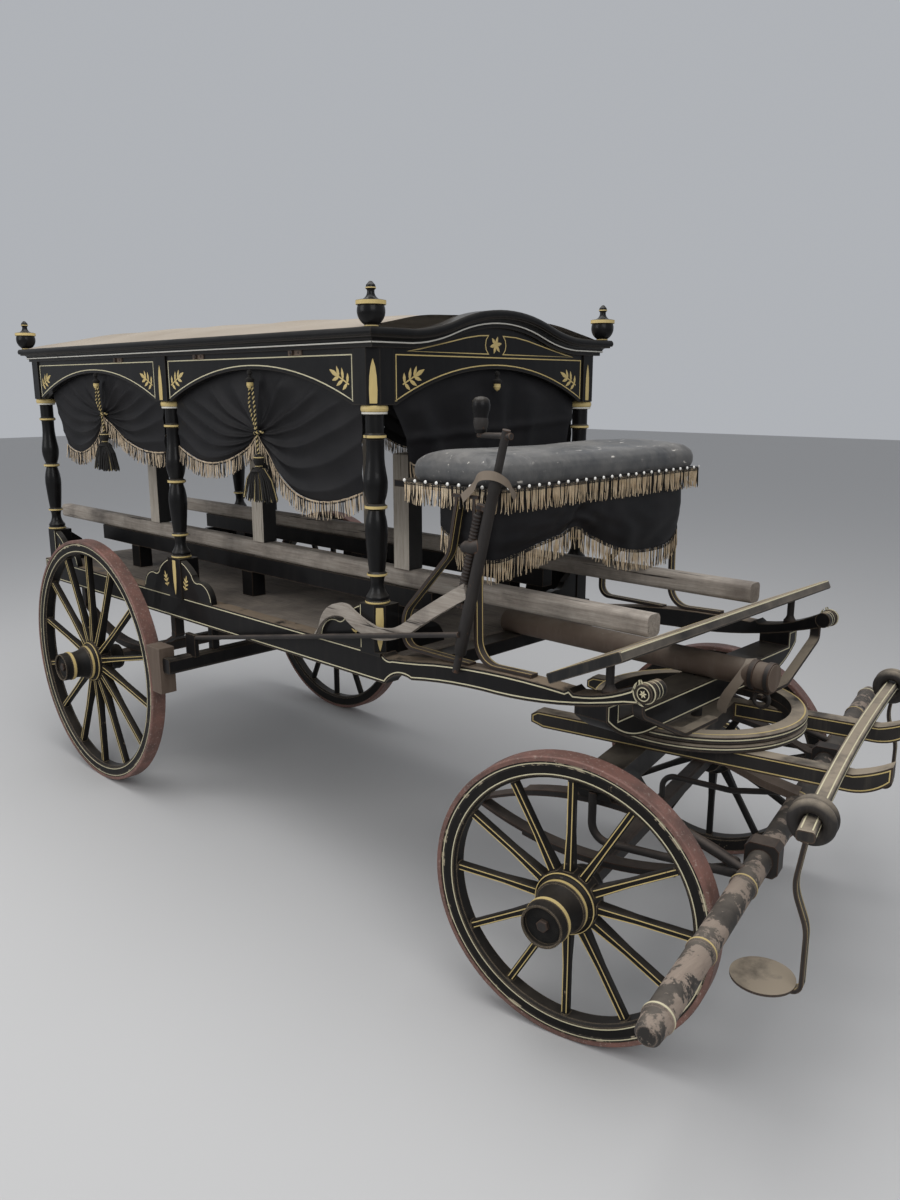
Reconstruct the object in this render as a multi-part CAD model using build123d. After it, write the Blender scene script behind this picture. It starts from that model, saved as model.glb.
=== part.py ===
from build123d import *
import math
import os

os.makedirs("parts", exist_ok=True)

# A black and gold horse-drawn hearse carriage: four spoked wheels, six turned columns
# under an arched canopy, a coffin bier on the deck, and a steered fore-carriage.
# Laid out in millimetres from the ground (Z) and from the front columns (X, forward),
# with Y to the left. At the end every node moves so that the deck mount is the origin.

# Body plan
columnHalfSpacing = 508.0
frontBay = 1158.0
rearBay = 1119.0
deckTop = 852.0
deckThick = 22.0
deckFront = 90.0
plankCount = 5
plankGap = 2.0
sillOverhang = 27.0
sillWidth = 56.0
sillHeight = 84.0
sillLip = 10.0
rearOverhang = 100.0
scrollX = 985.0
scrollZ = 950.0
scrollRadius = 24.0
touch = 0.3

# Columns and plinths
plinthTop = 1012.0
plinthSize = 92.0
plinthLip = 8.0
plinthChamfer = 26.0
wingReach = 205.0
wingThick = 24.0
wingStep = 84.0

# Wheels
frontRadius = 388.0
rearRadius = 520.0
tyreWidth = 58.0
tyreThick = 13.0
felloeDepth = 46.0
frontSpokes = 12
rearSpokes = 14
frontTrackOut = 100.0
rearTrackOut = 147.0
naveOut = 112.0
naveIn = 70.0
naveRadius = 82.0
naveBore = 27.0
naveCap = 12.0
hubClear = 0.6
axleArm = 26.4
axleBar = 46.0
rearAxleX = -1659.0

# Fore-carriage
kingpinX = 830.0
kingpinRadius = 16.0
pinClear = 0.5
trail = 112.0
restSteer = 11.6
ringRadius = 305.0
ringWidth = 44.0
ringTop = 772.0
upperRingThick = 28.0
lowerRingThick = 22.0
ringGap = 0.5
futchellOffset = 200.0
futchellWidth = 46.0
futchellHeight = 48.0
futchellRear = -430.0
futchellFront = 560.0
futchellRise = 46.0
springInset = 205.0
springHalf = 360.0
springTop = 604.0
springWidth = 44.0
leafThick = 9.0
bowX = 440.0
bowHalf = 660.0
bowWidth = 40.0
bowThick = 26.0
barX = 305.0
barZ = 520.0
barHalf = 1170.0
barRadius = 30.0
armOffset = 480.0
shaftOffset = 378.0
stepX = 385.0
stepTop = 373.0
stepRadius = 72.0
stepThick = 6.0

# Canopy
capSize = 86.0
capChamfer = 30.0
friezeBottom = 1612.0
friezeInset = 6.0
friezeThick = 24.0
archRise = 110.0
archEnd = 12.0
friezeTop = 1776.0
corniceTop = 1830.0
corniceOut = 82.0
corniceRear = 62.0
corniceWidth = 60.0
pedimentRise = 75.0
crownShoulder = 78.0
roofRise = 86.0
canvas = 8.0
urnHeight = 124.0
urnInset = 30.0

# Bier
railOffset = 285.0
railWidth = 60.0
railHeight = 62.0
railRound = 16.0
railAxis = 1048.0
railRear = -2650.0
railFront = 847.0
beamHeight = 66.0
beamWidth = 52.0
beamFront = 40.0
beamInset = 60.0
legXs = (-150.0, -1000.0, -1900.0)
legLength = 70.0
postXs = (-97.0, -910.0, -1700.0)
postSize = 72.0
postThick = 60.0
postTop = 1456.0

# Hanging cloths
drapeThick = 26.0
drapeHem = 1420.0
drapeLow = 1350.0
drapeSide = 1480.0
valanceBottom = 1190.0

# Seat and footboard
seatRear = 70.0
seatFront = 500.0
seatHalf = 515.0
seatBottom = 1398.0
seatThick = 84.0
seatBoard = 20.0
cushionRound = 60.0
ironWidth = 30.0
ironThick = 10.0
footHalf = 590.0
footLength = 240.0
footThick = 28.0
footX = 945.0
footZ = 1058.0
footTilt = 25.0
footPostX = 866.0

# Brake
shoeGap = 8.0
shoeHeight = 180.0
shoeZ = 600.0
leverRadius = 11.0
leverFoot = (372.0, 877.0)
leverTop = (550.0, 1557.0)
brakeRodRadius = 8.0

sillOuter = columnHalfSpacing + sillOverhang
frontFace = sillOuter + frontTrackOut
rearFace = sillOuter + rearTrackOut
springOffset = frontFace - springInset
rearX = -(frontBay + rearBay)
midX = -frontBay
columnXs = (0.0, midX, rearX)
frontAxleX = -trail
capOuter = columnHalfSpacing + capSize / 2
sides = (("right", -1), ("left", 1))
nodes = {}


def block(x0, x1, y0, y1, z0, z1):
    """A plain bar between two corners."""
    return Pos((x0 + x1) / 2, (y0 + y1) / 2, (z0 + z1) / 2) * Box(abs(x1 - x0), abs(y1 - y0), abs(z1 - z0))


def rod(start, end, radius, endRadius=None):
    """A round bar between two points, tapered when two radii are given."""
    axis = Vector(*end) - Vector(*start)
    seat = Plane(origin=start, z_dir=axis.normalized())
    if endRadius is None or endRadius == radius:
        return seat * Cylinder(radius, axis.length, align=(Align.CENTER, Align.CENTER, Align.MIN))
    return seat * Cone(radius, endRadius, axis.length, align=(Align.CENTER, Align.CENTER, Align.MIN))


def edgesAlong(start, steps):
    """Edges from a point on: a step is (x, y) for a line or (viaX, viaY, x, y) for an arc."""
    edges = []
    here = start
    for step in steps:
        there = step[-2:]
        if len(step) == 4:
            edges.append(ThreePointArc(here, step[:2], there))
        else:
            edges.append(Line(here, there))
        here = there
    return edges


def outline(start, steps):
    """A closed flat face from steps as in edgesAlong."""
    edges = edgesAlong(start, steps)
    if steps[-1][-2:] != start:
        edges.append(Line(steps[-1][-2:], start))
    return make_face(edges)


def sideways(face, y0, y1):
    """An outline drawn in X and Z, given a width across the carriage."""
    return extrude(Plane.XZ * face, amount=y1 - y0, dir=(0, 1, 0)).moved(Location((0, y0, 0)))


def lengthways(face, x0, x1):
    """An outline drawn in Y and Z, given a length along the carriage."""
    return extrude(Plane.YZ * face, amount=x1 - x0, dir=(1, 0, 0)).moved(Location((x0, 0, 0)))


def turned(profile, x, y, z):
    """A solid turned about a vertical line: profile rows are (height, radius) or
    (via height, via radius, height, radius) for a curved stretch."""
    steps = []
    for row in profile:
        if len(row) == 4:
            steps.append((row[1], row[0], row[3], row[2]))
        else:
            steps.append((row[1], row[0]))
    steps.append((0.0, profile[-1][-2]))
    face = outline((0.0, profile[0][0]), steps)
    return Pos(x, y, z) * revolve(Plane.XZ * face, axis=Axis.Z)


def strap(points, radii, width, thick, sideY):
    """A flat iron bent in X and Z at one distance from the centre line."""
    path = FilletPolyline(*[(x, sideY, z) for x, z in points], radius=radii)
    section = Plane(origin=path @ 0, x_dir=(0, 1, 0), z_dir=path % 0) * Rectangle(width, thick)
    return sweep(section, path=path)


def strapAcross(points, radii, width, thick, atX):
    """A flat iron bent in Y and Z at one distance along the carriage."""
    path = FilletPolyline(*[(atX, y, z) for y, z in points], radius=radii)
    section = Plane(origin=path @ 0, x_dir=(1, 0, 0), z_dir=path % 0) * Rectangle(width, thick)
    return sweep(section, path=path)


def bentRod(points, radii, radius):
    """A round iron bent through points."""
    path = FilletPolyline(*points, radius=radii)
    section = Plane(origin=path @ 0, z_dir=path % 0) * Circle(radius)
    return sweep(section, path=path)


def biggest(shape):
    return shape.solids().sort_by(SortBy.VOLUME)[-1]


def keep(name, *shapes):
    """One node: its solids side by side, or joined before they come here."""
    nodes[name] = Compound(children=[solid for shape in shapes for solid in shape.solids()])


# Wheels, each built about its own hub at the origin with the outer side towards -Y
spokeRoot = (38.0, 27.0)
spokeWaist = (28.0, 21.0)
felloeChamfer = 8.0


def wheelPieces(radius, spokeCount):
    felloeOuter = radius - tyreThick
    felloeInner = felloeOuter - felloeDepth
    half = tyreWidth / 2
    rimHalf = half - 3
    tyreFace = outline((felloeOuter, -half), [
        (radius - 3, -half), (radius, -half + 3), (radius, half - 3), (radius - 3, half), (felloeOuter, half)])
    rimFace = outline((felloeOuter, -rimHalf), [
        (felloeInner + felloeChamfer, -rimHalf),
        (felloeInner, -rimHalf + felloeChamfer),
        (felloeInner, rimHalf - felloeChamfer),
        (felloeInner + felloeChamfer, rimHalf),
        (felloeOuter, rimHalf),
    ])
    out = naveOut + half
    naveFace = outline((naveBore, -naveIn - half), [
        (naveRadius * 0.62, -naveIn - half),
        (naveRadius * 0.66, -naveIn - half + 10),
        (naveRadius * 0.74, -half - 20, naveRadius, -half),
        (naveRadius, half),
        (naveRadius * 0.90, half + 6, naveRadius * 0.86, half + 14),
        (naveRadius * 0.86, half + 26),
        (naveRadius * 0.80, half + 28),
        (naveRadius * 0.70, half + 50, naveRadius * 0.66, out - 26),
        (naveRadius * 0.72, out - 26),
        (naveRadius * 0.72, out - 12),
        (naveRadius * 0.60, out - 10),
        (naveRadius * 0.58, out - 2),
        (naveRadius * 0.36, out + 4),
        (0.0, out + 4),
        (0.0, out - naveCap),
        (naveBore, out - naveCap),
    ])
    tyre = Rot(90, 0, 0) * revolve(Plane.XZ * tyreFace, axis=Axis.Z)
    rim = Rot(90, 0, 0) * revolve(Plane.XZ * rimFace, axis=Axis.Z)
    nave = Rot(90, 0, 0) * revolve(Plane.XZ * naveFace, axis=Axis.Z)
    start = naveRadius - 10
    waist = start + (felloeInner - start) * 0.45
    spoke = loft([
        Plane.XY.offset(start) * RectangleRounded(spokeRoot[1], spokeRoot[0], 7),
        Plane.XY.offset(waist) * RectangleRounded(spokeWaist[1], spokeWaist[0], 9),
        Plane.XY.offset(felloeInner + 6) * RectangleRounded(spokeWaist[1], spokeWaist[0], 9),
    ], ruled=True)
    body = (rim + nave) + [Rot(0, 360.0 * i / spokeCount, 0) * spoke for i in range(spokeCount)]
    return tyre, body


def placeWheels(radius, spokeCount, face, axleX, names, turn):
    tyre, body = wheelPieces(radius, spokeCount)
    centreY = face - tyreWidth / 2
    for side, sign in sides:
        spin = Rot(0, 0, 0) if sign < 0 else Rot(0, 0, 180)
        seat = turn * Pos(axleX, sign * centreY, radius) * spin
        keep("tyre_" + names + "_" + side, seat * tyre)
        keep("wheel_" + names + "_" + side, seat * body)


steer = Pos(kingpinX, 0, 0) * Rot(0, 0, restSteer)
placeWheels(frontRadius, frontSpokes, frontFace, frontAxleX, "front", steer)
placeWheels(rearRadius, rearSpokes, rearFace, rearAxleX, "rear", Pos(0, 0, 0))

# Sills: deep behind the front columns, stepped up by a cusp, then swept up to a scroll
sillBottom = deckTop - sillHeight
sillTop = deckTop + sillLip
sillRear = rearX - rearOverhang
sillFace = outline((sillRear, sillTop), [
    (sillRear, sillBottom),
    (58.0, sillBottom),
    (84.0, sillBottom + 26, 176.0, sillBottom + 38),
    (330.0, sillBottom + 60, 520.0, sillBottom + 71),
    (752.0, sillBottom + 97, 927.0, sillBottom + 140),
    (scrollX, scrollZ - scrollRadius),
    (scrollX - 8, scrollZ + scrollRadius - 1),
    (870.0, sillTop + 60, 775.0, sillTop + 40),
    (760.0, sillTop + 50),
    (745.0, sillTop + 41),
    (480.0, sillTop + 38, 270.0, sillTop + 18),
    (170.0, sillTop + 2, 90.0, sillTop - 8),
    (62.0, sillTop - 9, 48.0, sillTop),
])
rollRing = scrollRadius + 3
rollBack = -sillWidth - 4
rollFace = outline((0.0, rollBack), [
    (scrollRadius, rollBack), (scrollRadius, -16.0), (rollRing, -13.0, scrollRadius, -10.0),
    (scrollRadius, 6.0), (scrollRadius - 6, 8.0), (scrollRadius - 8, 5.0), (9.0, 5.0), (0.0, 9.0),
])
scrollRoll = revolve(Plane.XZ * rollFace, axis=Axis.Z)
sills = {}
for side, sign in sides:
    y0 = -sillOuter if sign < 0 else sillOuter - sillWidth
    sill = sideways(sillFace, y0, y0 + sillWidth)
    roll = Pos(scrollX, sign * sillOuter, scrollZ) * Rot(sign * -90, 0, 0) * scrollRoll
    sills[side] = sill + roll
    keep("sill_" + side, sills[side])

# Deck of planks on cross bearers
sillInner = sillOuter - sillWidth
plankWidth = (2 * sillInner - 2 * touch - (plankCount - 1) * plankGap) / plankCount
planks = []
for i in range(plankCount):
    y0 = -sillInner + touch + i * (plankWidth + plankGap)
    planks.append(block(sillRear, deckFront, y0, y0 + plankWidth, deckTop - deckThick, deckTop))
keep("deck_planks", *planks)

bearerHeight = 48.0
bearerLength = 60.0
bearerTop = deckTop - deckThick
bearerXs = (sillRear + 60, (midX + rearX) / 2, midX, midX / 2, 30.0)
beamRadius = 38.0
beamAxisZ = 884.0
beamBottom = beamAxisZ - beamRadius
beamRear = deckFront + 6
bearers = [
    block(x - bearerLength / 2, x + bearerLength / 2, -sillInner, sillInner, bearerTop - bearerHeight, bearerTop)
    for x in bearerXs]
crossBar = block(beamRear, beamRear + 70, -sillInner, sillInner, sillBottom + 34, beamBottom)
bearers.append(crossBar)
keep("cross_bearers", *bearers)

# Turned columns, on plinths with scalloped brackets
columnProfile = [
    (0.0, 34.0), (6.0, 38.0, 12.0, 34.0), (18.0, 36.0, 26.0, 33.0), (40.0, 25.0, 84.0, 24.0),
    (88.0, 31.0), (94.0, 31.0), (100.0, 25.0), (150.0, 30.0, 215.0, 35.0), (250.0, 33.0, 288.0, 24.0),
    (294.0, 34.0), (302.0, 34.0), (308.0, 25.0), (350.0, 36.0, 400.0, 33.0), (450.0, 27.0, 500.0, 27.0),
    (505.0, 34.0), (512.0, 34.0), (518.0, 28.0), (572.0, 28.0),
    (574.0, 38.0), (580.0, 38.0), (590.0, 41.0, friezeBottom - plinthTop, 38.0),
]
plinthHalf = plinthSize / 2


def wingFace(edge, w, base):
    """A scalloped bracket that leaves the plinth's edge in direction w and ends low on its base."""
    return outline((edge - w * 5, base), [
        (edge + w * wingReach, base),
        (edge + w * (wingReach - 20), base + 52, edge + w * (wingStep + 34), base + wingStep - 8),
        (edge + w * wingStep, base + wingStep, edge + w * (wingStep - 8), base + wingStep + 14),
        (edge + w * 36, base + wingStep + 44, edge, plinthTop - 6),
        (edge - w * 5, plinthTop - 6),
    ])


columns = []
plinths = []
for x in columnXs:
    for side, sign in sides:
        y = sign * columnHalfSpacing
        outer = sign * (sillOuter + plinthLip)
        inner = sign * (columnHalfSpacing - plinthHalf)
        columns.append(turned(columnProfile, x, y, plinthTop))
        plinth = block(x - plinthHalf, x + plinthHalf, min(inner, outer), max(inner, outer), sillTop, plinthTop)
        if x != midX:
            out = 1 if x == 0 else -1
            upright = plinth.edges().filter_by(Axis.Z).sort_by(Axis.X)
            pair = upright[-2:] if out > 0 else upright[:2]
            plinth = chamfer(pair.sort_by(Axis.Y)[-1 if sign > 0 else 0], plinthChamfer)
            face = wingFace(inner, -sign, deckTop)
            edge = x + out * (plinthHalf - 4)
            plinth += lengthways(face, min(edge, edge - out * wingThick), max(edge, edge - out * wingThick))
        for w in (-1, 1):
            if (x == 0 and w > 0) or (x == rearX and w < 0):
                continue
            face = outer - sign * 4
            wing = wingFace(x + w * plinthHalf, w, sillTop)
            plinth += sideways(wing, min(face, face - sign * wingThick), max(face, face - sign * wingThick))
        foot = block(x - plinthHalf, x + plinthHalf, min(inner, outer), max(inner, outer), deckTop, sillTop + 1)
        plinths.append(biggest(plinth + foot - sills[side]))
keep("columns", *columns)
keep("plinths", *plinths)

# Corner blocks above the columns, with the outer corner cut
caps = []
for x in columnXs:
    for side, sign in sides:
        cap = block(x - capSize / 2, x + capSize / 2, -capSize / 2, capSize / 2, friezeBottom, friezeTop)
        if x != midX:
            upright = cap.edges().filter_by(Axis.Z).sort_by(Axis.X)
            pair = upright[-2:] if x == 0 else upright[:2]
            cap = chamfer(pair.sort_by(Axis.Y)[-1 if sign > 0 else 0], capChamfer)
        caps.append(cap.moved(Location((0, sign * columnHalfSpacing, 0))))
keep("cap_blocks", *caps)

# Frieze boards with arches
friezes = []
for side, sign in sides:
    outerFace = sign * (capOuter - friezeInset)
    y0 = outerFace if sign < 0 else outerFace - friezeThick
    for back, front in ((rearX, midX), (midX, 0.0)):
        x0 = back + capSize / 2
        x1 = front - capSize / 2
        board = outline((x0, friezeTop), [
            (x0, friezeBottom),
            (x0 + archEnd, friezeBottom),
            ((x0 + x1) / 2, friezeBottom + archRise, x1 - archEnd, friezeBottom),
            (x1, friezeBottom),
            (x1, friezeTop),
        ])
        friezes.append(sideways(board, y0, y0 + friezeThick))
keep("frieze_sides", *friezes)

# The ends rise in the middle in an ogee, and the cornice over them does too
crownStart = columnHalfSpacing - crownShoulder
ogeeRadius = (crownStart ** 2 + pedimentRise ** 2) / (4 * pedimentRise)
ogeeVia = ogeeRadius - math.sqrt(ogeeRadius ** 2 - (crownStart / 4) ** 2)


def crownSteps(z):
    """Steps along the rising line of an end, from -Y to +Y, at height z."""
    quarter = crownStart / 4
    top = z + pedimentRise
    shoulder = z + pedimentRise / 2
    return [
        (-3 * quarter, z + ogeeVia, -2 * quarter, shoulder),
        (-quarter, top - ogeeVia, 0.0, top),
        (quarter, top - ogeeVia, 2 * quarter, shoulder),
        (3 * quarter, z + ogeeVia, crownStart, z),
    ]


endHalf = columnHalfSpacing - capSize / 2
endFace = outline((-endHalf, friezeTop), [
    (-crownStart, friezeTop),
    *crownSteps(friezeTop),
    (endHalf, friezeTop),
    (endHalf, friezeBottom),
    (endHalf - archEnd, friezeBottom),
    (0.0, friezeBottom + archRise, -endHalf + archEnd, friezeBottom),
    (-endHalf, friezeBottom),
])
keep("frieze_ends", *[
    lengthways(endFace, x0, x0 + friezeThick)
    for x0 in (capSize / 2 - friezeInset - friezeThick, rearX - capSize / 2 + friezeInset)])

# Cornice: one moulding on the frieze, mitred at the corners, its ends following the ogee
corniceX1 = corniceOut
corniceX0 = rearX - corniceRear
corniceY = columnHalfSpacing + corniceOut
corniceHeight = corniceTop - friezeTop
mouldingFace = outline((0.0, 0.0), [
    (corniceWidth - 34, 0.0),
    (corniceWidth - 34, corniceHeight * 0.2),
    (corniceWidth - 28, corniceHeight * 0.2),
    (corniceWidth - 24, corniceHeight * 0.46, corniceWidth - 8, corniceHeight * 0.5),
    (corniceWidth - 8, corniceHeight * 0.6),
    (corniceWidth - 3, corniceHeight * 0.6),
    (corniceWidth, corniceHeight * 0.8, corniceWidth - 5, corniceHeight),
    (0.0, corniceHeight),
])


def mitred(shape, corners):
    """What of a moulding stands over a plan of four corners."""
    plan = make_face(Polyline(*corners, close=True))
    return shape & Pos(0, 0, friezeTop - 10) * extrude(plan, amount=pedimentRise + 4 * corniceHeight)


runs = []
for side, sign in sides:
    inY = sign * (corniceY - corniceWidth)
    seat = Plane(origin=(corniceX0, inY, friezeTop), x_dir=(0, sign, 0), z_dir=(sign, 0, 0))
    side_run = extrude(seat * mouldingFace, amount=corniceX1 - corniceX0, dir=(1, 0, 0))
    runs.append(mitred(side_run, [
        (corniceX0, sign * corniceY), (corniceX1, sign * corniceY),
        (corniceX1 - corniceWidth, inY), (corniceX0 + corniceWidth, inY)]))
endPath = edgesAlong((-corniceY, friezeTop), [(-crownStart, friezeTop), *crownSteps(friezeTop), (corniceY, friezeTop)])
for edge, out in ((corniceX1, 1), (corniceX0, -1)):
    inX = edge - out * corniceWidth
    path = Plane.YZ.offset(inX) * Wire(endPath)
    seat = Plane(origin=(inX, -corniceY, friezeTop), x_dir=(out, 0, 0), z_dir=(0, -out, 0))
    runs.append(mitred(sweep(seat * mouldingFace, path=path), [
        (edge, -corniceY), (edge, corniceY), (inX, corniceY - corniceWidth), (inX, -corniceY + corniceWidth)]))
keep("cornice", runs[0] + runs[1:])

# Canvas roof: a thin vaulted sheet between the cornice ends
roofHalf = corniceY - 20
roof = outline((-roofHalf, corniceTop), [
    (0.0, corniceTop + roofRise, roofHalf, corniceTop),
    (roofHalf - canvas, corniceTop),
    (0.0, corniceTop + roofRise - canvas, -roofHalf + canvas, corniceTop),
])
keep("roof_canvas", lengthways(roof, corniceX0 + corniceWidth + touch, corniceX1 - corniceWidth - touch))

# Urns on the four corners
urnProfile = [
    (0.0, 20.0), (6.0, 20.0), (20.0, 34.0, 58.0, 38.0), (60.0, 43.0), (72.0, 43.0), (74.0, 34.0),
    (84.0, 14.0, 100.0, 11.0), (104.0, 15.0), (114.0, 13.0), (urnHeight, 4.0),
]
keep("urns", *[
    turned(urnProfile, x, sign * (corniceY - urnInset), corniceTop)
    for x in (corniceX1 - urnInset, corniceX0 + urnInset) for side, sign in sides])

# Bier: two rails on black beams and legs, with upright posts
beamTop = railAxis - railHeight / 2
rails = []
beams = []
legs = []
posts = []
for side, sign in sides:
    y = sign * railOffset
    bar = block(railRear, railFront, y - railWidth / 2, y + railWidth / 2, beamTop, beamTop + railHeight)
    rails.append(fillet(bar.edges().filter_by(Axis.X), railRound))
    beams.append(block(rearX + beamInset, beamFront, y - beamWidth / 2, y + beamWidth / 2,
                       beamTop - beamHeight, beamTop))
    for x in legXs:
        legs.append(block(x - legLength / 2, x + legLength / 2, y - railWidth / 2, y + railWidth / 2,
                          deckTop, beamTop - beamHeight))
    for x in postXs:
        post = block(x - postSize / 2, x + postSize / 2, y - postThick / 2, y + postThick / 2,
                     beamTop + railHeight, postTop)
        posts.append(chamfer(post.edges().group_by(Axis.Z)[-1], 4))
keep("bier_rails", *rails)
keep("bier_frame", (beams[0] + beams[1:]) + legs)
keep("bier_posts", *posts)

# Drapes between the columns, plain solids of the hanging cloth
drapeTop = friezeTop - 20
for side, sign in sides:
    cloths = []
    a = sign * (capOuter - friezeInset - friezeThick - touch)
    b = a - sign * drapeThick
    for back, front in ((rearX, midX), (midX, 0.0)):
        x0 = back + capSize / 2 + touch
        x1 = front - capSize / 2 - touch
        mid = (x0 + x1) / 2
        cloth = outline((x0, drapeTop), [
            (x0, drapeSide),
            ((x0 + mid) / 2 - 30, drapeLow, mid, drapeHem),
            ((x1 + mid) / 2 + 30, drapeLow, x1, drapeSide),
            (x1, drapeTop),
        ])
        cloths.append(sideways(cloth, min(a, b), max(a, b)))
    keep("drape_" + side, *cloths)
for name, x0 in (("drape_front", capSize / 2 - friezeInset - friezeThick - touch - drapeThick),
                 ("drape_rear", rearX - capSize / 2 + friezeInset + friezeThick + touch)):
    half = endHalf - touch
    keep(name, block(x0, x0 + drapeThick, -half, half, drapeHem, drapeTop))

# Seat: board, cushion, hanging valance and the curved irons under it
boardTop = seatBottom - touch
keep("seat_board", block(seatRear + 10, seatFront - 10, -seatHalf + 10, seatHalf - 10, boardTop - seatBoard, boardTop))
cushion = block(seatRear, seatFront, -seatHalf, seatHalf, seatBottom, seatBottom + seatThick)
keep("seat_cushion", fillet(cushion.edges().filter_by(Axis.Z), cushionRound))
keep("seat_valance", block(seatFront - 70, seatFront - 30, -seatHalf + 40, seatHalf - 40,
                           valanceBottom, boardTop - seatBoard - touch))
ironY = sillOuter - sillWidth / 2
barTop = boardTop - seatBoard
ironTop = barTop - ironThick
rearIronX = 350.0
frontIronX = 415.0
rearIronPath = [(rearIronX, ironTop), (318.0, 1205.0), (128.0, 1005.0), (128.0, 898.0), (400.0, 896.0)]
frontIronPath = [(frontIronX, ironTop), (424.0, 904.0), (625.0, 911.0)]
irons = [
    block(x - ironWidth / 2, x + ironWidth / 2, -ironY - ironWidth / 2, ironY + ironWidth / 2, ironTop, barTop)
    for x in (rearIronX, frontIronX)]
for side, sign in sides:
    y = sign * ironY
    rearIron = strap(rearIronPath, [90, 80, 40], ironWidth, ironThick, y)
    frontIron = strap(frontIronPath, [70], ironWidth, ironThick, y)
    for iron in (rearIron, frontIron):
        irons.append((iron - sills[side]).solids().sort_by(Axis.Z)[-1])
keep("seat_irons", irons[0] + irons[1:])

# Footboard, inclined up towards the front, on two posts
board = Box(footLength, 2 * footHalf, footThick, align=(Align.MAX, Align.CENTER, Align.MAX))
footboard = Pos(footX, 0, footZ) * Rot(0, -footTilt, 0) * chamfer(board.edges().filter_by(Axis.Y), 4)
keep("footboard", footboard)
footPost = [(0.0, 20.0), (44.0, 20.0), (52.0, 14.0, 60.0, 11.0), (200.0, 11.0)]
footIrons = []
for side, sign in sides:
    post = turned(footPost, footPostX, sign * ironY, sillTop + 20)
    footIrons.append((post - sills[side] - footboard).solids().sort_by(Axis.Z)[-2])
keep("footboard_irons", *footIrons)

# Centre beam over the fore-carriage with its iron bands and pulling eye
beamEnd = 1060.0
bandGap = 46.0
bandRadius = beamRadius + 4
beam = rod((beamRear, 0, beamAxisZ), (beamEnd, 0, beamAxisZ), beamRadius)
keep("centre_beam", beam)
bands = [
    rod((x, 0, beamAxisZ), (x + 16, 0, beamAxisZ), bandRadius) - beam
    for x in (beamEnd - 18, beamEnd - 18 - bandGap)]
bridge = block(beamEnd - 18 - bandGap + 8, beamEnd - 10, -10, 10, beamBottom - 9, beamBottom + 3) - beam
eye = Pos(beamEnd - 34, 0, beamBottom - 30) * Rot(90, 0, 0) * Torus(22, 6)
keep("beam_iron", (bands[0] + bands[1:]) + biggest(bridge) + eye)

# Body bolster between the upper ring and the sills, its ends swept up
bolsterHalf = 50.0
bolsterFlat = ringRadius + 35
bolsterEnd = beamBottom + 4
bolsterFace = outline((-sillOuter, bolsterEnd), [
    (-sillOuter, bolsterEnd + 60),
    (-sillInner, bolsterEnd + 60),
    (-sillInner, beamBottom),
    (sillInner, beamBottom),
    (sillInner, bolsterEnd + 60),
    (sillOuter, bolsterEnd + 60),
    (sillOuter, bolsterEnd),
    ((bolsterFlat + sillOuter) / 2 + 20, ringTop + 26, bolsterFlat, ringTop),
    (-bolsterFlat, ringTop),
    (-(bolsterFlat + sillOuter) / 2 - 20, ringTop + 26, -sillOuter, bolsterEnd),
])
bolster = lengthways(bolsterFace, kingpinX - bolsterHalf, kingpinX + bolsterHalf)
for side, sign in sides:
    bolster = biggest(bolster - sills[side])
bolster -= Pos(kingpinX, 0, 0) * Cylinder(kingpinRadius + pinClear, 4000)
keep("body_bolster", bolster)

# Flat stays from the sills' fronts down to the top of the upper ring
stayX = 952.0
stayPath = [(-ironY, scrollZ - 25), (-ironY, 880.0), (-300.0, ringTop + ironThick / 2), (-130.0, ringTop + ironThick / 2)]
stays = []
for side, sign in sides:
    stay = strapAcross([(-sign * y, z) for y, z in stayPath], [25, 40], ironWidth, ironThick, stayX)
    stays.append(biggest(stay - sills[side]))
keep("ring_stays", *stays)

# Rear axle, its bed and the leaf springs that carry the sills
rearInner = rearFace - tyreWidth - naveIn
armClear = naveCap + 6
rearSpringY = sillOuter - sillWidth / 2 - 20
rearAxle = block(rearAxleX - axleBar / 2, rearAxleX + axleBar / 2, -rearInner + 4, rearInner - 4,
                 rearRadius - axleBar / 2, rearRadius + axleBar / 2)
arms = [rod((rearAxleX, sign * (rearInner - 5), rearRadius),
            (rearAxleX, sign * (rearFace + naveOut - armClear), rearRadius), axleArm) for side, sign in sides]
keep("rear_axle", chamfer(rearAxle.edges().filter_by(Axis.Y), 6) + arms)


def leafSpring(x, y, z, half, rise, count, width, thick, up):
    """A pack of curved leaves: the main leaf ends in eyes, and each next is shorter."""
    pack = []
    for i in range(count):
        reach = half * (1 - i / (count + 0.6))
        drop = rise * (reach / half) ** 2
        offset = -i * thick
        lower = outline((-reach, up * (drop + offset)), [
            (0.0, up * offset, reach, up * (drop + offset)),
            (reach, up * (drop + offset - thick)),
            (0.0, up * (offset - thick), -reach, up * (drop + offset - thick)),
        ])
        pack.append(sideways(lower, y - width / 2, y + width / 2).moved(Location((x, 0, z))))
    return pack


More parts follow.
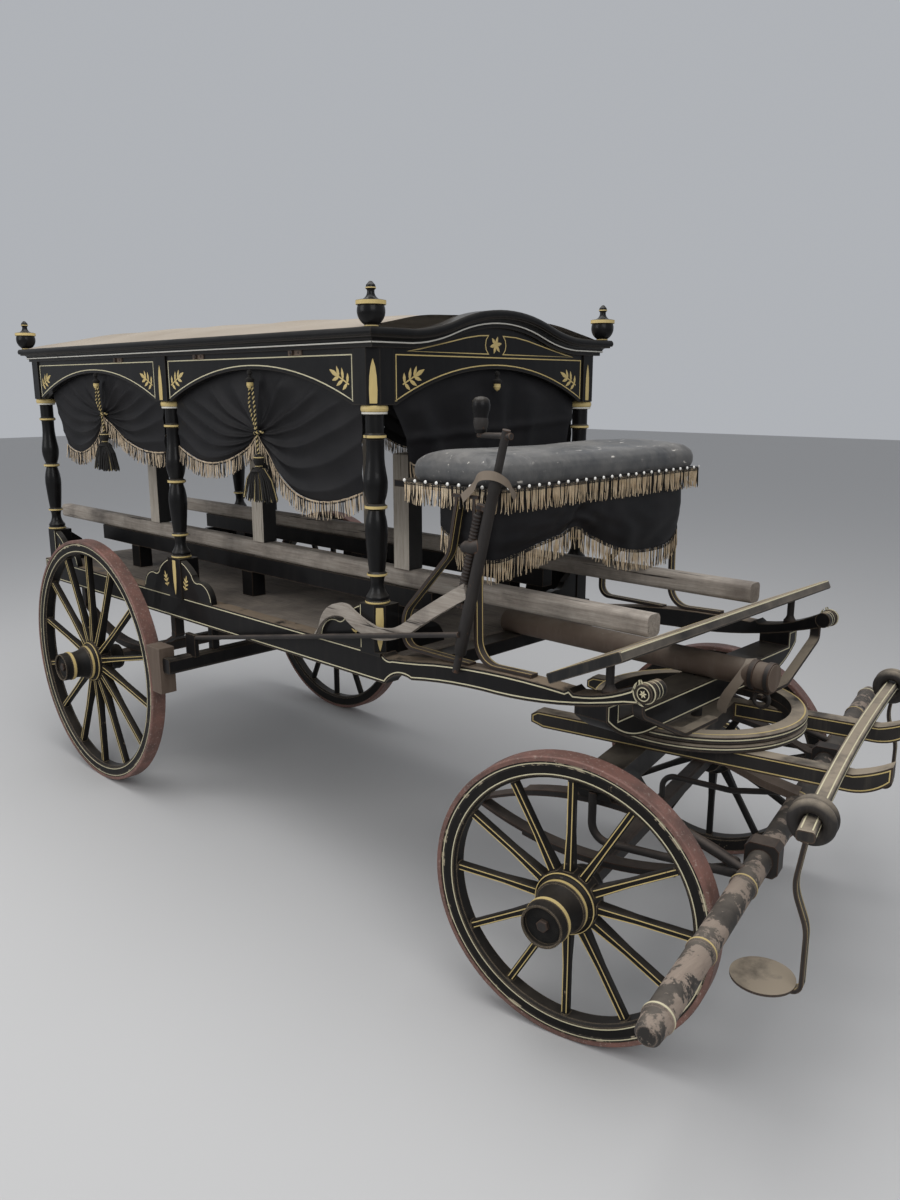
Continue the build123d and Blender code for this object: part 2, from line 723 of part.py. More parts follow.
rearSprings = []
eyeRadius = 15.0
rearSpringHalf = 400.0
rearSpringRise = 110.0
rearLeafZ = rearRadius + axleBar / 2 + 3 * leafThick
for side, sign in sides:
    y = sign * rearSpringY
    leaves = leafSpring(rearAxleX, y, rearLeafZ, rearSpringHalf, rearSpringRise, 3, springWidth, leafThick, 1)
    spring = leaves[0] + leaves[1:]
    for dx in (-rearSpringHalf, rearSpringHalf):
        start = (rearAxleX + dx, y - springWidth / 2, rearLeafZ + rearSpringRise)
        end = (rearAxleX + dx, y + springWidth / 2, rearLeafZ + rearSpringRise)
        spring += rod(start, end, eyeRadius)
        hanger = block(rearAxleX + dx - 16, rearAxleX + dx + 16, y - 20, y + 20,
                       rearLeafZ + rearSpringRise, sillBottom)
        rearSprings.append((hanger - rod(start, end, eyeRadius)).solids().sort_by(Axis.Z)[-1])
    rearSprings.append(spring)
keep("rear_springs", *rearSprings)

# Brake: a screw lever on the right sill, a rod, and a cross beam with a shoe at each rear wheel
brakeX = rearAxleX + rearRadius + shoeGap
shoes = []
for side, sign in sides:
    y = sign * (rearFace - tyreWidth / 2)
    shoe = block(brakeX - 30, brakeX + 70, y - 32, y + 32, shoeZ - shoeHeight / 2, shoeZ + shoeHeight / 2)
    shoes.append(shoe - Pos(rearAxleX, y, rearRadius) * Rot(90, 0, 0) * Cylinder(rearRadius + shoeGap, 100))
keep("brake_shoes", *shoes)
leverY = -(sillOuter + leverRadius + touch)
rodY = leverY - leverRadius - brakeRodRadius - touch
rodFront = (402.0, 994.0)
rodRear = (-1000.0, 725.0)
brakeHangerY = sillInner - 20
beamX0 = brakeX + 70
brakeBeam = block(beamX0, beamX0 + 50, -rearFace + 10, rearFace - 10, shoeZ - 5, shoeZ + 55)
brakeBeam = chamfer(brakeBeam.edges().filter_by(Axis.Y), 8)
for side, sign in sides:
    brakeBeam += block(beamX0 + 10, beamX0 + 40, sign * brakeHangerY - 15, sign * brakeHangerY + 15,
                       shoeZ + 50, bearerTop)
brakeBeam += block(beamX0 + 10, rodRear[0] + 14, rodY - 9, rodY + 9, shoeZ + 50, rodRear[1] + 12)
keep("brake_beam", brakeBeam)
slant = Vector(leverTop[0] - leverFoot[0], 0, leverTop[1] - leverFoot[1])
lean = math.degrees(math.atan2(slant.X, slant.Z))
leverSeat = Pos(leverFoot[0], leverY, leverFoot[1]) * Rot(0, lean, 0)
spindleX = -34.0
spindleLow = 190.0
spindleHigh = 490.0
spindleProfile = [(0.0, 12.0), (14.0, 12.0), (18.0, 8.0), (282.0, 8.0), (286.0, 12.0), (300.0, 12.0)]
lever = Cylinder(leverRadius, slant.length, align=(Align.CENTER, Align.CENTER, Align.MIN))
lever += turned(spindleProfile, spindleX, 0, spindleLow)
for height in (spindleLow + 7, spindleHigh - 7):
    lever += block(spindleX, 0, -7, 7, height - 7, height + 7)
knobProfile = [(0.0, 9.0), (8.0, 9.0), (30.0, 19.0, 58.0, 15.0), (70.0, 14.0, 76.0, 4.0)]
crankLength = 97.0
lever = leverSeat * lever
crankZ = leverTop[1] - 16
lever += rod((leverTop[0] + 16, leverY, crankZ), (leverTop[0] - crankLength, leverY, crankZ), 9.0, 7.0)
lever += turned(knobProfile, leverTop[0] - crankLength + 8, leverY, crankZ - 4)
keep("brake_lever", lever)
brakeRod = rod((rodFront[0], rodY, rodFront[1]), (rodRear[0], rodY, rodRear[1]), brakeRodRadius)
keep("brake_rod", biggest(brakeRod - brakeBeam))

# Curved wooden arm from the lever down over the front plinth
armBack = -(sillOuter + plinthLip + touch)
armThick = 18.0
armFace = outline((414.0, 1140.0), [
    (318.0, 1084.0, 211.0, 1018.0),
    (122.0, 962.0, 41.0, 949.0),
    (-24.0, 966.0, -90.0, 996.0),
    (-160.0, 990.0, -232.0, 904.0),
    (-262.0, 870.0),
    (-262.0, 862.0),
    (-252.0, 866.0),
    (-186.0, 942.0, -104.0, 958.0),
    (-40.0, 926.0, 41.0, 912.0),
    (130.0, 928.0, 225.0, 978.0),
    (330.0, 1044.0, 424.0, 1098.0),
])
arm = sideways(armFace, armBack - armThick, armBack)
keep("brake_arm", biggest(arm - lever - brakeRod))

# Fore-carriage, built straight about the kingpin and turned to its parked angle
foreAxleTop = frontRadius + axleBar / 2
foreInner = frontFace - tyreWidth - naveIn
turnSolids = {}
foreAxle = block(frontAxleX - axleBar / 2, frontAxleX + axleBar / 2, -foreInner + 4, foreInner - 4,
                 frontRadius - axleBar / 2, foreAxleTop)
foreArms = [rod((frontAxleX, sign * (foreInner - 5), frontRadius),
                (frontAxleX, sign * (frontFace + naveOut - armClear), frontRadius), axleArm) for side, sign in sides]
turnSolids["fore_axle"] = [chamfer(foreAxle.edges().filter_by(Axis.Y), 6) + foreArms]

eyeZ = (foreAxleTop + springTop) / 2
springs = []
for side, sign in sides:
    y = sign * springOffset
    rise = eyeZ - foreAxleTop - 2 * leafThick
    leaves = leafSpring(frontAxleX, y, foreAxleTop + 2 * leafThick, springHalf, rise, 2, springWidth, leafThick, 1)
    leaves += leafSpring(frontAxleX, y, springTop - 2 * leafThick, springHalf, rise, 2, springWidth, leafThick, -1)
    spring = leaves[0] + leaves[1:]
    for dx in (-springHalf, springHalf):
        spring += rod((frontAxleX + dx, y - springWidth / 2, eyeZ), (frontAxleX + dx, y + springWidth / 2, eyeZ), 12.0)
    springs.append(spring)
turnSolids["fore_springs"] = springs

futchellTop = ringTop - upperRingThick - ringGap - lowerRingThick
futchellBottom = futchellTop - futchellHeight
bolsterReach = springOffset + 60
foreBolsterFace = outline((-bolsterReach, futchellBottom), [
    (-bolsterReach, futchellBottom - 34),
    (-bolsterReach + 30, springTop),
    (bolsterReach - 30, springTop),
    (bolsterReach, futchellBottom - 34),
    (bolsterReach, futchellBottom),
])
foreBolster = lengthways(foreBolsterFace, frontAxleX - 45, frontAxleX + 45)
turnSolids["fore_bolster"] = [foreBolster]
futchellFace = outline((futchellRear, futchellBottom + 12), [
    (futchellRear + 40, futchellBottom),
    (bowX + 20, futchellBottom),
    (bowX + 70, futchellBottom + 10, futchellFront, futchellBottom + futchellRise),
    (futchellFront, futchellTop + futchellRise - 6),
    (bowX + 76, futchellTop + 16, bowX + 30, futchellTop),
    (futchellRear + 20, futchellTop),
    (futchellRear, futchellTop - 12),
])
futchells = block(-60.0, 60.0, -futchellOffset, futchellOffset, futchellBottom, futchellTop)
for s in (-1, 1):
    y = s * futchellOffset
    futchells += sideways(futchellFace, y - futchellWidth / 2, y + futchellWidth / 2)
futchells += rod((0, 0, futchellBottom + 1), (0, 0, beamBottom - 6), kingpinRadius)
turnSolids["futchells"] = [futchells]


def ring(thick, bevel):
    """A flat iron ring with bevelled outer edges, its underside at height 0."""
    face = outline((ringRadius - ringWidth, 0.0), [
        (ringRadius - bevel, 0.0), (ringRadius, bevel), (ringRadius, thick - bevel), (ringRadius - bevel, thick),
        (ringRadius - ringWidth, thick)])
    return revolve(Plane.XZ * face, axis=Axis.Z)


turnSolids["lower_ring"] = [Pos(0, 0, futchellTop) * ring(lowerRingThick, 4)]

# Step bow across the futchells, with a pair of rings wrapped round each end, and its steps
bowZ = futchellTop + bowThick / 2
bowPath = ThreePointArc((bowX + 12, -bowHalf, bowZ), (bowX - 4, 0, bowZ), (bowX + 12, bowHalf, bowZ))
bowSection = Plane(origin=bowPath @ 0, x_dir=(1, 0, 0), z_dir=bowPath % 0) * RectangleRounded(bowWidth, bowThick, 8)
bow = sweep(bowSection, path=bowPath)
for s in (-1, 1):
    for shift in (0, 28):
        bow += Pos(bowX + 8, s * (bowHalf - 80 - shift), bowZ) * Rot(90, 0, 0) * Torus(38, 16)
turnSolids["step_bow"] = [bow]
stepY = bowHalf - 14
stepIronThick = 9.0
stepFoot = stepTop - stepThick - stepIronThick / 2
stepStem = stepX + stepRadius + stepIronThick / 2 + 8
stepPath = [(bowX + 12, futchellTop), (bowX - 4, 610.0), (stepStem, 520.0), (stepStem, stepFoot), (stepX - 40, stepFoot)]
stepIrons = []
for s in (-1, 1):
    iron = strap(stepPath, [120, 120, 22], 28.0, stepIronThick, s * stepY)
    plate = Pos(stepX, s * stepY, stepTop - stepThick / 2) * Cylinder(stepRadius, stepThick)
    stepIrons.append(biggest(iron - bow) + plate)
turnSolids["step_irons"] = stepIrons

# Round splinter bar across in front of the wheels, with raised bands, and what holds it
bandYs = (-1110.0, -860.0, -550.0, 0.0, 550.0, 860.0, 1110.0)
barProfile = [(-barHalf, 20.0), (-barHalf + 8, 26.0), (-barHalf + 60, barRadius)]
for y in bandYs:
    band = y * barHalf / 1170.0
    barProfile += [(band - 7, barRadius), (band - 5, barRadius + 3), (band + 5, barRadius + 3), (band + 7, barRadius)]
barProfile += [(barHalf - 8, 26.0), (barHalf, 20.0)]
barProfile = sorted(set(barProfile))
splinterBar = Pos(barX, 0, barZ) * Rot(90, 0, 0) * turned(barProfile, 0, 0, 0)
turnSolids["splinter_bar"] = [splinterBar]
barBack = barX - barRadius
stayRods = []
for s in (-1, 1):
    level = bentRod([(frontAxleX, s * armOffset, springTop + 30), (frontAxleX, s * armOffset, barZ - 22),
                     (barX, s * armOffset, barZ - 8)], [50], 11.0)
    sloping = rod((frontAxleX + 40, s * (bolsterReach - 30), futchellBottom - 12), (barX, s * (armOffset + 20), barZ + 12),
                  10.0)
    for stay in (level, sloping):
        stayRods.append(biggest(stay - splinterBar - foreBolster))
axleStay = bentRod([(frontAxleX, 60, foreAxleTop - 2), (frontAxleX, 60, barZ - 32), (100.0, 60, barZ - 36),
                    (barX, 60, barZ + 6)], [40, 60], 9.0)
stayRods.append(biggest(axleStay - splinterBar - turnSolids["fore_axle"][0]))
turnSolids["bar_stays"] = stayRods
armZ = futchellBottom - 11.2
centreArm = strap([(-62.0, armZ), (24.0, armZ), (110.0, 600.0), (205.0, 566.0), (barX, barZ + 24)], [50, 90, 160],
                  58.0, 22.0, 0)
turnSolids["bar_arm"] = [biggest(centreArm - splinterBar)]
clamps = []
for s in (-1, 1):
    clamp = block(barX - 40, barX + 44, s * shaftOffset - 26, s * shaftOffset + 26, barZ - 40, barZ + 46)
    clamp = chamfer(clamp.edges().filter_by(Axis.Y), 12)
    clamps.append(clamp - splinterBar)
turnSolids["bar_clamps"] = clamps

for name, solids in turnSolids.items():
    keep(name, *[steer * s for s in solids])
keep("upper_ring", Pos(kingpinX, 0, ringTop - upperRingThick) * ring(upperRingThick, 6))

# The origin is the middle of the deck's top face
place = Location((-rearX / 2, 0, -deckTop))
for name, solid in nodes.items():
    export_step(solid.moved(place), "parts/" + name + ".step")
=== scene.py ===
import math
import random
import bmesh
import bpy
from mathutils import Euler, Matrix, Vector, noise


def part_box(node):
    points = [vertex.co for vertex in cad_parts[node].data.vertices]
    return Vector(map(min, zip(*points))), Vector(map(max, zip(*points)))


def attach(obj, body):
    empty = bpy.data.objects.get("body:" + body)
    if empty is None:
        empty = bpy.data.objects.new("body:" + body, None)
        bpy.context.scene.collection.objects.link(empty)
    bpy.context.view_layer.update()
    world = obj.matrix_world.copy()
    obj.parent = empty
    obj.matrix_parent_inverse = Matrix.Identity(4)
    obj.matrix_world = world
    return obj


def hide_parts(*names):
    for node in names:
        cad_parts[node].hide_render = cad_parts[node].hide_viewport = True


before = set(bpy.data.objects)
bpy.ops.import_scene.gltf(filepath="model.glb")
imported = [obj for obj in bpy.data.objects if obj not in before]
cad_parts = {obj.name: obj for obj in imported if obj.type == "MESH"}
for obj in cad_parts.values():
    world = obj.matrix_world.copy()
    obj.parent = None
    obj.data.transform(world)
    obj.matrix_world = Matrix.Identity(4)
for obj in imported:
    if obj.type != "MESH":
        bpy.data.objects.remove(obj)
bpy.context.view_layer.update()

random.seed(7)

# A painted hearse carriage, dressed on its CAD frame. Heights below are metres above the
# ground and x is metres forward of the front columns; the fore-carriage's own x and y
# start at the kingpin and turn with it.
floorZ = -0.852
capHalf = 0.043                                    # half a cap block's width
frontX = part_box("cap_blocks")[1][0] - capHalf
kingpin = Vector((frontX + 0.830, 0, 0))
restSteer = math.radians(11.6)
bayEnds = ((-1.115, -0.043), (-2.234, -1.201))     # between the cap blocks, front and rear bay
columnXs = (0.0, -1.158, -2.277)
columnY = 0.508
sides = (-1, 1)                                    # right, left
square = ((-1, -1), (1, -1), (1, 1), (-1, 1))
upward = Vector((0, 0, 1))


def at(x, y, z):
    return Vector((frontX + x, y, z + floorZ))


def atFore(x, y, z):
    turned = Matrix.Rotation(restSteer, 3, "Z") @ Vector((x, y, 0))
    return kingpin + turned + Vector((0, 0, z + floorZ))


# Camera, floor and light
view = {
    "place": (3.2835, -2.399, 0.810),   # m from the deck mount
    "yaw": 44.11,                       # degrees from +Y towards -X
    "pitch": -12.68,
    "lens": 28.31,
    "sensor": 36.0,
    "sky": (0.80, 0.83, 0.88, 1),
    "skyStrength": 0.54,
    "floor": (0.50, 0.495, 0.49, 1),
    "floorHalf": 30,
    "lightsAim": (0.3, 0, 0.2),
}
scene = bpy.context.scene
cameraData = bpy.data.cameras.new("camera")
cameraData.lens = view["lens"]
cameraData.sensor_width = view["sensor"]
cameraData.clip_end = 80
camera = bpy.data.objects.new("camera", cameraData)
camera.location = view["place"]
camera.rotation_euler = Euler((math.radians(90 + view["pitch"]), 0, math.radians(view["yaw"])), "XYZ")
scene.collection.objects.link(camera)
scene.camera = camera
scene.view_settings.view_transform = "Standard"

world = bpy.data.worlds.new("studio")
world.use_nodes = True
world.node_tree.nodes["Background"].inputs["Color"].default_value = view["sky"]
world.node_tree.nodes["Background"].inputs["Strength"].default_value = view["skyStrength"]
scene.world = world

lights = {
    # name: place, size, power in watts
    "overhead": ((0.5, -0.5, 4.6), 4.5, 200),
    "front": ((4.6, -2.2, 2.6), 2.5, 55),
    "side": ((-1.5, -4.8, 2.4), 3.0, 85),
}
for name, (place, size, power) in lights.items():
    lamp = bpy.data.lights.new(name, "AREA")
    lamp.size = size
    lamp.energy = power
    lampObject = bpy.data.objects.new(name, lamp)
    lampObject.location = place
    aim = Vector(view["lightsAim"]) - Vector(place)
    lampObject.rotation_euler = aim.to_track_quat("-Z", "Y").to_euler()
    scene.collection.objects.link(lampObject)
print("stage ready")

groups = {}
materials = {}


# Short ways to add shader nodes to a group's or a material's tree
class Nodes:
    def __init__(self, tree):
        self.tree = tree

    def put(self, value, socket):
        if isinstance(value, bpy.types.NodeSocket):
            self.tree.links.new(value, socket)
        else:
            socket.default_value = value

    def add(self, kind, inputs, output=0, **settings):
        node = self.tree.nodes.new("ShaderNode" + kind)
        for name, value in settings.items():
            setattr(node, name, value)
        for key, value in inputs.items():
            self.put(value, node.inputs[key])
        return node.outputs[output]

    def place(self):
        return self.add("TexCoord", {}, "Object")

    def facing(self):
        return self.add("NewGeometry", {}, "Normal")

    def part(self, vector, letter):
        return self.add("SeparateXYZ", {0: vector}, letter)

    def maths(self, operation, *values, clamp=False):
        return self.add("Math", dict(enumerate(values)), operation=operation, use_clamp=clamp)

    def times(self, a, *others):
        for b in others:
            a = self.maths("MULTIPLY", a, b)
        return a

    def squeezed(self, scale, rotation=(0, 0, 0)):
        return self.add("Mapping", {"Vector": self.place(), "Scale": scale, "Rotation": rotation})

    def noise(self, scale, detail=6, rough=0.6, vector=None):
        vector = self.place() if vector is None else vector
        inputs = {"Vector": vector, "Scale": scale, "Detail": detail, "Roughness": rough}
        return self.add("TexNoise", inputs, "Fac")

    def ramp(self, value, low, high):     # 0 below low, 1 above high
        return self.add("MapRange", {"Value": value, "From Min": low, "From Max": high}, "Result")

    def mix(self, share, a, b):           # the mix node's colours are inputs 6 and 7 and output 2
        a, b = (c if isinstance(c, bpy.types.NodeSocket) else (*c, 1.0) for c in (a, b))
        return self.add("Mix", {0: share, 6: a, 7: b}, 2, data_type="RGBA")

    def group(self, name, output=0, **values):
        return self.add("Group", values, output, node_tree=groups[name])


def newGroup(name, inputs, outputs):
    tree = groups[name] = bpy.data.node_groups.new(name, "ShaderNodeTree")
    for label, value in inputs.items():
        kind = "NodeSocketVector" if isinstance(value, tuple) else "NodeSocketFloat"
        tree.interface.new_socket(label, in_out="INPUT", socket_type=kind).default_value = value
    for label in outputs:
        tree.interface.new_socket(label, in_out="OUTPUT", socket_type="NodeSocketFloat")
    return Nodes(tree), tree.nodes.new("NodeGroupInput").outputs, tree.nodes.new("NodeGroupOutput").inputs


def makeWear():
    # Where paint has gone: broad patches, edges, and faces that are trodden on
    nodes, given, out = newGroup("wear", {"Patches": 0.2, "Edges": 0.5, "Scale": 9.0, "Top": 0.0}, ["Mask"])
    broad = nodes.noise(given["Scale"], 8, 0.7)
    limit = nodes.maths("SUBTRACT", 0.78, nodes.times(given["Patches"], 0.4))
    patch = nodes.ramp(broad, limit, nodes.maths("ADD", limit, 0.03))
    facing = nodes.facing()
    rounded = nodes.add("Bevel", {"Radius": 0.006}, samples=4)
    turn = nodes.add("VectorMath", {0: rounded, 1: facing}, "Value", operation="DOT_PRODUCT")
    bend = nodes.times(nodes.maths("SUBTRACT", 1.0, turn), 14.0, nodes.noise(60.0, 5, 0.7))
    edge = nodes.times(nodes.ramp(bend, 0.30, 0.62), given["Edges"])
    trodden = nodes.times(nodes.ramp(nodes.part(facing, "Z"), 0.90, 0.97), given["Top"],
                          nodes.ramp(broad, 0.36, 0.44))
    worn = nodes.maths("MAXIMUM", patch, edge)
    nodes.put(nodes.maths("MAXIMUM", worn, trodden), out["Mask"])


def makeDust():
    # Dust that lies on faces turned up, and dull streaks elsewhere
    nodes, given, out = newGroup("dust", {"Top": 0.5, "Streaks": 0.2}, ["Mask"])
    level = nodes.ramp(nodes.part(nodes.facing(), "Z"), 0.2, 0.95)
    lying = nodes.times(level, nodes.ramp(nodes.noise(7.0, 7, 0.65), 0.3, 0.75), given["Top"])
    streak = nodes.noise(26.0, 6, 0.7, nodes.squeezed((1, 1, 0.12)))
    streak = nodes.times(nodes.ramp(streak, 0.5, 0.8), given["Streaks"])
    nodes.put(nodes.maths("MAXIMUM", lying, streak), out["Mask"])


def makeGrain():
    # Weathered wood: long fibres with cracks
    nodes, given, out = newGroup("grain", {"Stretch": (0.05, 1, 1)}, ["Fibre", "Crack"])
    scaled = nodes.add("VectorMath", {0: nodes.place(), 1: given["Stretch"]}, operation="MULTIPLY")
    nodes.put(nodes.noise(160.0, 8, 0.75, scaled), out["Fibre"])
    nodes.put(nodes.ramp(nodes.noise(60.0, 4, 0.6, scaled), 0.62, 0.68), out["Crack"])


def makeWeave():
    # Threads over and under, as a height
    nodes, given, out = newGroup("weave", {"Threads": 900.0}, ["Height"])
    place = nodes.place()
    level = nodes.maths("ADD", nodes.part(place, "X"), nodes.part(place, "Y"))
    threads = [
        nodes.maths("ABSOLUTE", nodes.maths("SINE", nodes.times(along, given["Threads"])))
        for along in (level, nodes.part(place, "Z"))]
    nodes.put(nodes.times(*threads), out["Height"])


for make in (makeWear, makeDust, makeGrain, makeWeave):
    make()


def newMaterial(name, metallic=0.0, coat=0.0, sheen=0.0, specular=0.5):
    material = materials[name] = bpy.data.materials.new(name)
    material.use_nodes = True
    shader = material.node_tree.nodes["Principled BSDF"].inputs
    for socket, value in (("Metallic", metallic), ("Coat Weight", coat), ("Sheen Weight", sheen),
                          ("Specular IOR Level", specular)):
        shader[socket].default_value = value
    return Nodes(material.node_tree), shader


def surface(nodes, shader, colour, rough, height, strength, distance=0.001):
    bump = nodes.add("Bump", {"Strength": strength, "Distance": distance, "Height": height})
    for socket, value in (("Base Color", colour), ("Roughness", rough), ("Normal", bump)):
        nodes.put(value, shader[socket])


def makePaint(name, look):
    # Paint over wood or iron: chipped patches, worn edges, dust and dull streaks
    look = {**plainPaint, **look}
    nodes, shader = newMaterial(name, coat=look["coat"], specular=look["specular"])
    worn = nodes.group("wear", Patches=look["patches"], Edges=look["edges"], Scale=look["scale"],
                       Top=look["wornTop"])
    dust = nodes.group("dust", Top=look["dust"], Streaks=look["streaks"])
    fibre = nodes.group("grain", "Fibre", Stretch=look["stretch"])
    tone = nodes.noise(14.0, 5)
    paint = nodes.mix(tone, look["paint"], look["faded"])
    bare = nodes.mix(fibre, look["bare"], look["bareDark"])
    colour = nodes.mix(dust, nodes.mix(worn, paint, bare), look["dustColour"])
    rough = nodes.maths("ADD", look["rough"], nodes.times(tone, 0.18))
    for mask, least in ((dust, 0.9), (worn, 0.85)):
        rough = nodes.maths("MAXIMUM", rough, nodes.times(mask, least), clamp=True)
    surface(nodes, shader, colour, rough, nodes.maths("SUBTRACT", nodes.times(fibre, 0.25), worn), 0.35)


# What a paint has unless it says otherwise below
plainPaint = {"edges": 0.0, "coat": 0.0, "specular": 0.3, "wornTop": 0.0, "stretch": (0.05, 1, 1)}
paints = {
    # paint and what shows under it, all linear colours
    "body": {
        "paint": (0.004, 0.004, 0.0045), "faded": (0.011, 0.010, 0.010), "bare": (0.16, 0.11, 0.07),
        "bareDark": (0.05, 0.035, 0.025), "dustColour": (0.17, 0.145, 0.115), "patches": 0.16, "edges": 0.55,
        "scale": 9.0, "dust": 0.75, "streaks": 0.05, "rough": 0.32, "coat": 0.06, "specular": 0.12,
    },
    "board": {
        "paint": (0.008, 0.008, 0.009), "faded": (0.022, 0.021, 0.020), "bare": (0.27, 0.22, 0.16),
        "bareDark": (0.12, 0.09, 0.065), "dustColour": (0.25, 0.21, 0.165), "patches": 0.2, "edges": 0.6,
        "scale": 9.0, "dust": 2.0, "streaks": 0.10, "rough": 0.40, "specular": 0.2,
    },
    "sill": {
        "paint": (0.004, 0.004, 0.0045), "faded": (0.010, 0.009, 0.009), "bare": (0.25, 0.195, 0.14),
        "bareDark": (0.12, 0.088, 0.06), "dustColour": (0.16, 0.13, 0.10), "patches": 0.08, "edges": 0.6,
        "scale": 10.0, "dust": 0.35, "streaks": 0.04, "rough": 0.34, "coat": 0.06, "specular": 0.12,
        "wornTop": 1.0,
    },
    "glossy": {
        "paint": (0.0035, 0.0035, 0.004), "faded": (0.009, 0.0085, 0.0085), "bare": (0.12, 0.09, 0.06),
        "bareDark": (0.04, 0.03, 0.02), "dustColour": (0.13, 0.12, 0.105), "patches": 0.06, "edges": 0.35,
        "scale": 12.0, "dust": 0.55, "streaks": 0.05, "rough": 0.26, "coat": 0.10, "specular": 0.13,
    },
    "wheel": {
        "paint": (0.005, 0.005, 0.005), "faded": (0.014, 0.012, 0.011), "bare": (0.28, 0.22, 0.145),
        "bareDark": (0.08, 0.06, 0.045), "dustColour": (0.14, 0.115, 0.09), "patches": 0.32, "edges": 0.95,
        "scale": 15.0, "dust": 0.3, "streaks": 0.08, "rough": 0.40, "specular": 0.14,
    },
    "iron": {
        "paint": (0.014, 0.013, 0.013), "faded": (0.036, 0.031, 0.028), "bare": (0.13, 0.065, 0.035),
        "bareDark": (0.07, 0.035, 0.02), "dustColour": (0.13, 0.10, 0.08), "patches": 0.30, "edges": 0.7,
        "scale": 22.0, "dust": 0.9, "streaks": 0.1, "rough": 0.48, "specular": 0.25,
    },
    "dusty": {
        "paint": (0.014, 0.013, 0.013), "faded": (0.036, 0.031, 0.028), "bare": (0.16, 0.10, 0.06),
        "bareDark": (0.07, 0.04, 0.025), "dustColour": (0.27, 0.225, 0.17), "patches": 0.24, "edges": 0.7,
        "scale": 22.0, "dust": 2.0, "streaks": 0.15, "rough": 0.5, "specular": 0.25,
    },
    "strap": {
        "paint": (0.15, 0.115, 0.085), "faded": (0.25, 0.205, 0.16), "bare": (0.10, 0.07, 0.05),
        "bareDark": (0.05, 0.035, 0.025), "dustColour": (0.30, 0.26, 0.21), "patches": 0.2,
        "scale": 20.0, "dust": 0.5, "streaks": 0.4, "rough": 0.6,
    },
    "chipped": {
        "paint": (0.010, 0.009, 0.009), "faded": (0.030, 0.026, 0.023), "bare": (0.50, 0.43, 0.30),
        "bareDark": (0.14, 0.11, 0.08), "dustColour": (0.20, 0.16, 0.12), "patches": 0.56,
        "scale": 16.0, "dust": 0.5, "streaks": 0.3, "rough": 0.5, "specular": 0.2,
    },
    "peeled": {
        "paint": (0.014, 0.013, 0.012), "faded": (0.045, 0.039, 0.034), "bare": (0.36, 0.29, 0.235),
        "bareDark": (0.15, 0.11, 0.085), "dustColour": (0.22, 0.185, 0.15), "patches": 0.66, "edges": 0.9,
        "scale": 11.0, "dust": 0.65, "streaks": 0.2, "rough": 0.55, "stretch": (1, 0.05, 1),
    },
    "brown": {
        "paint": (0.085, 0.058, 0.042), "faded": (0.13, 0.095, 0.072), "bare": (0.24, 0.19, 0.15),
        "bareDark": (0.09, 0.065, 0.05), "dustColour": (0.24, 0.205, 0.165), "patches": 0.35, "edges": 0.8,
        "scale": 8.0, "dust": 0.6, "streaks": 0.3, "rough": 0.6,
    },
    "gold": {
        "paint": (0.50, 0.36, 0.12), "faded": (0.62, 0.50, 0.24), "bare": (0.05, 0.04, 0.03),
        "bareDark": (0.03, 0.025, 0.02), "dustColour": (0.30, 0.25, 0.16), "patches": 0.28,
        "scale": 34.0, "dust": 0.3, "streaks": 0.3, "rough": 0.40,
    },
    "cream": {
        "paint": (0.52, 0.46, 0.28), "faded": (0.66, 0.62, 0.45), "bare": (0.05, 0.04, 0.03),
        "bareDark": (0.03, 0.025, 0.02), "dustColour": (0.35, 0.30, 0.21), "patches": 0.30,
        "scale": 30.0, "dust": 0.3, "streaks": 0.3, "rough": 0.5,
    },
    "nail": {
        "paint": (0.75, 0.73, 0.68), "faded": (0.82, 0.80, 0.76), "bare": (0.3, 0.25, 0.2),
        "bareDark": (0.2, 0.17, 0.14), "dustColour": (0.5, 0.46, 0.40), "patches": 0.05,
        "scale": 30.0, "dust": 0.1, "streaks": 0.1, "rough": 0.4,
    },
    "silver": {
        "paint": (0.55, 0.53, 0.47), "faded": (0.70, 0.68, 0.62), "bare": (0.06, 0.05, 0.045),
        "bareDark": (0.03, 0.03, 0.03), "dustColour": (0.35, 0.32, 0.27), "patches": 0.35,
        "scale": 26.0, "dust": 0.3, "streaks": 0.25, "rough": 0.42,
    },
}
for name, look in paints.items():
    makePaint(name, look)

woods = {
    # bare grey wood: light and dark fibres, and stains
    "greyWood": {"light": (0.40, 0.36, 0.31), "dark": (0.20, 0.165, 0.135), "stain": (0.075, 0.06, 0.05)},
    "planks": {"light": (0.23, 0.195, 0.16), "dark": (0.11, 0.09, 0.07), "stain": (0.05, 0.04, 0.035)},
}
crackColour = (0.03, 0.024, 0.02)
for name, look in woods.items():
    nodes, shader = newMaterial(name)
    fibre, crack = (nodes.group("grain", label, Stretch=(0.04, 1, 1)) for label in ("Fibre", "Crack"))
    colour = nodes.mix(nodes.ramp(fibre, 0.3, 0.7), look["dark"], look["light"])
    stain = nodes.ramp(nodes.noise(6.0, 6, 0.65), 0.45, 0.72)
    colour = nodes.mix(nodes.times(stain, 0.7), colour, look["stain"])
    colour = nodes.mix(crack, colour, crackColour)
    surface(nodes, shader, colour, 0.85, nodes.maths("SUBTRACT", fibre, crack), 0.6)

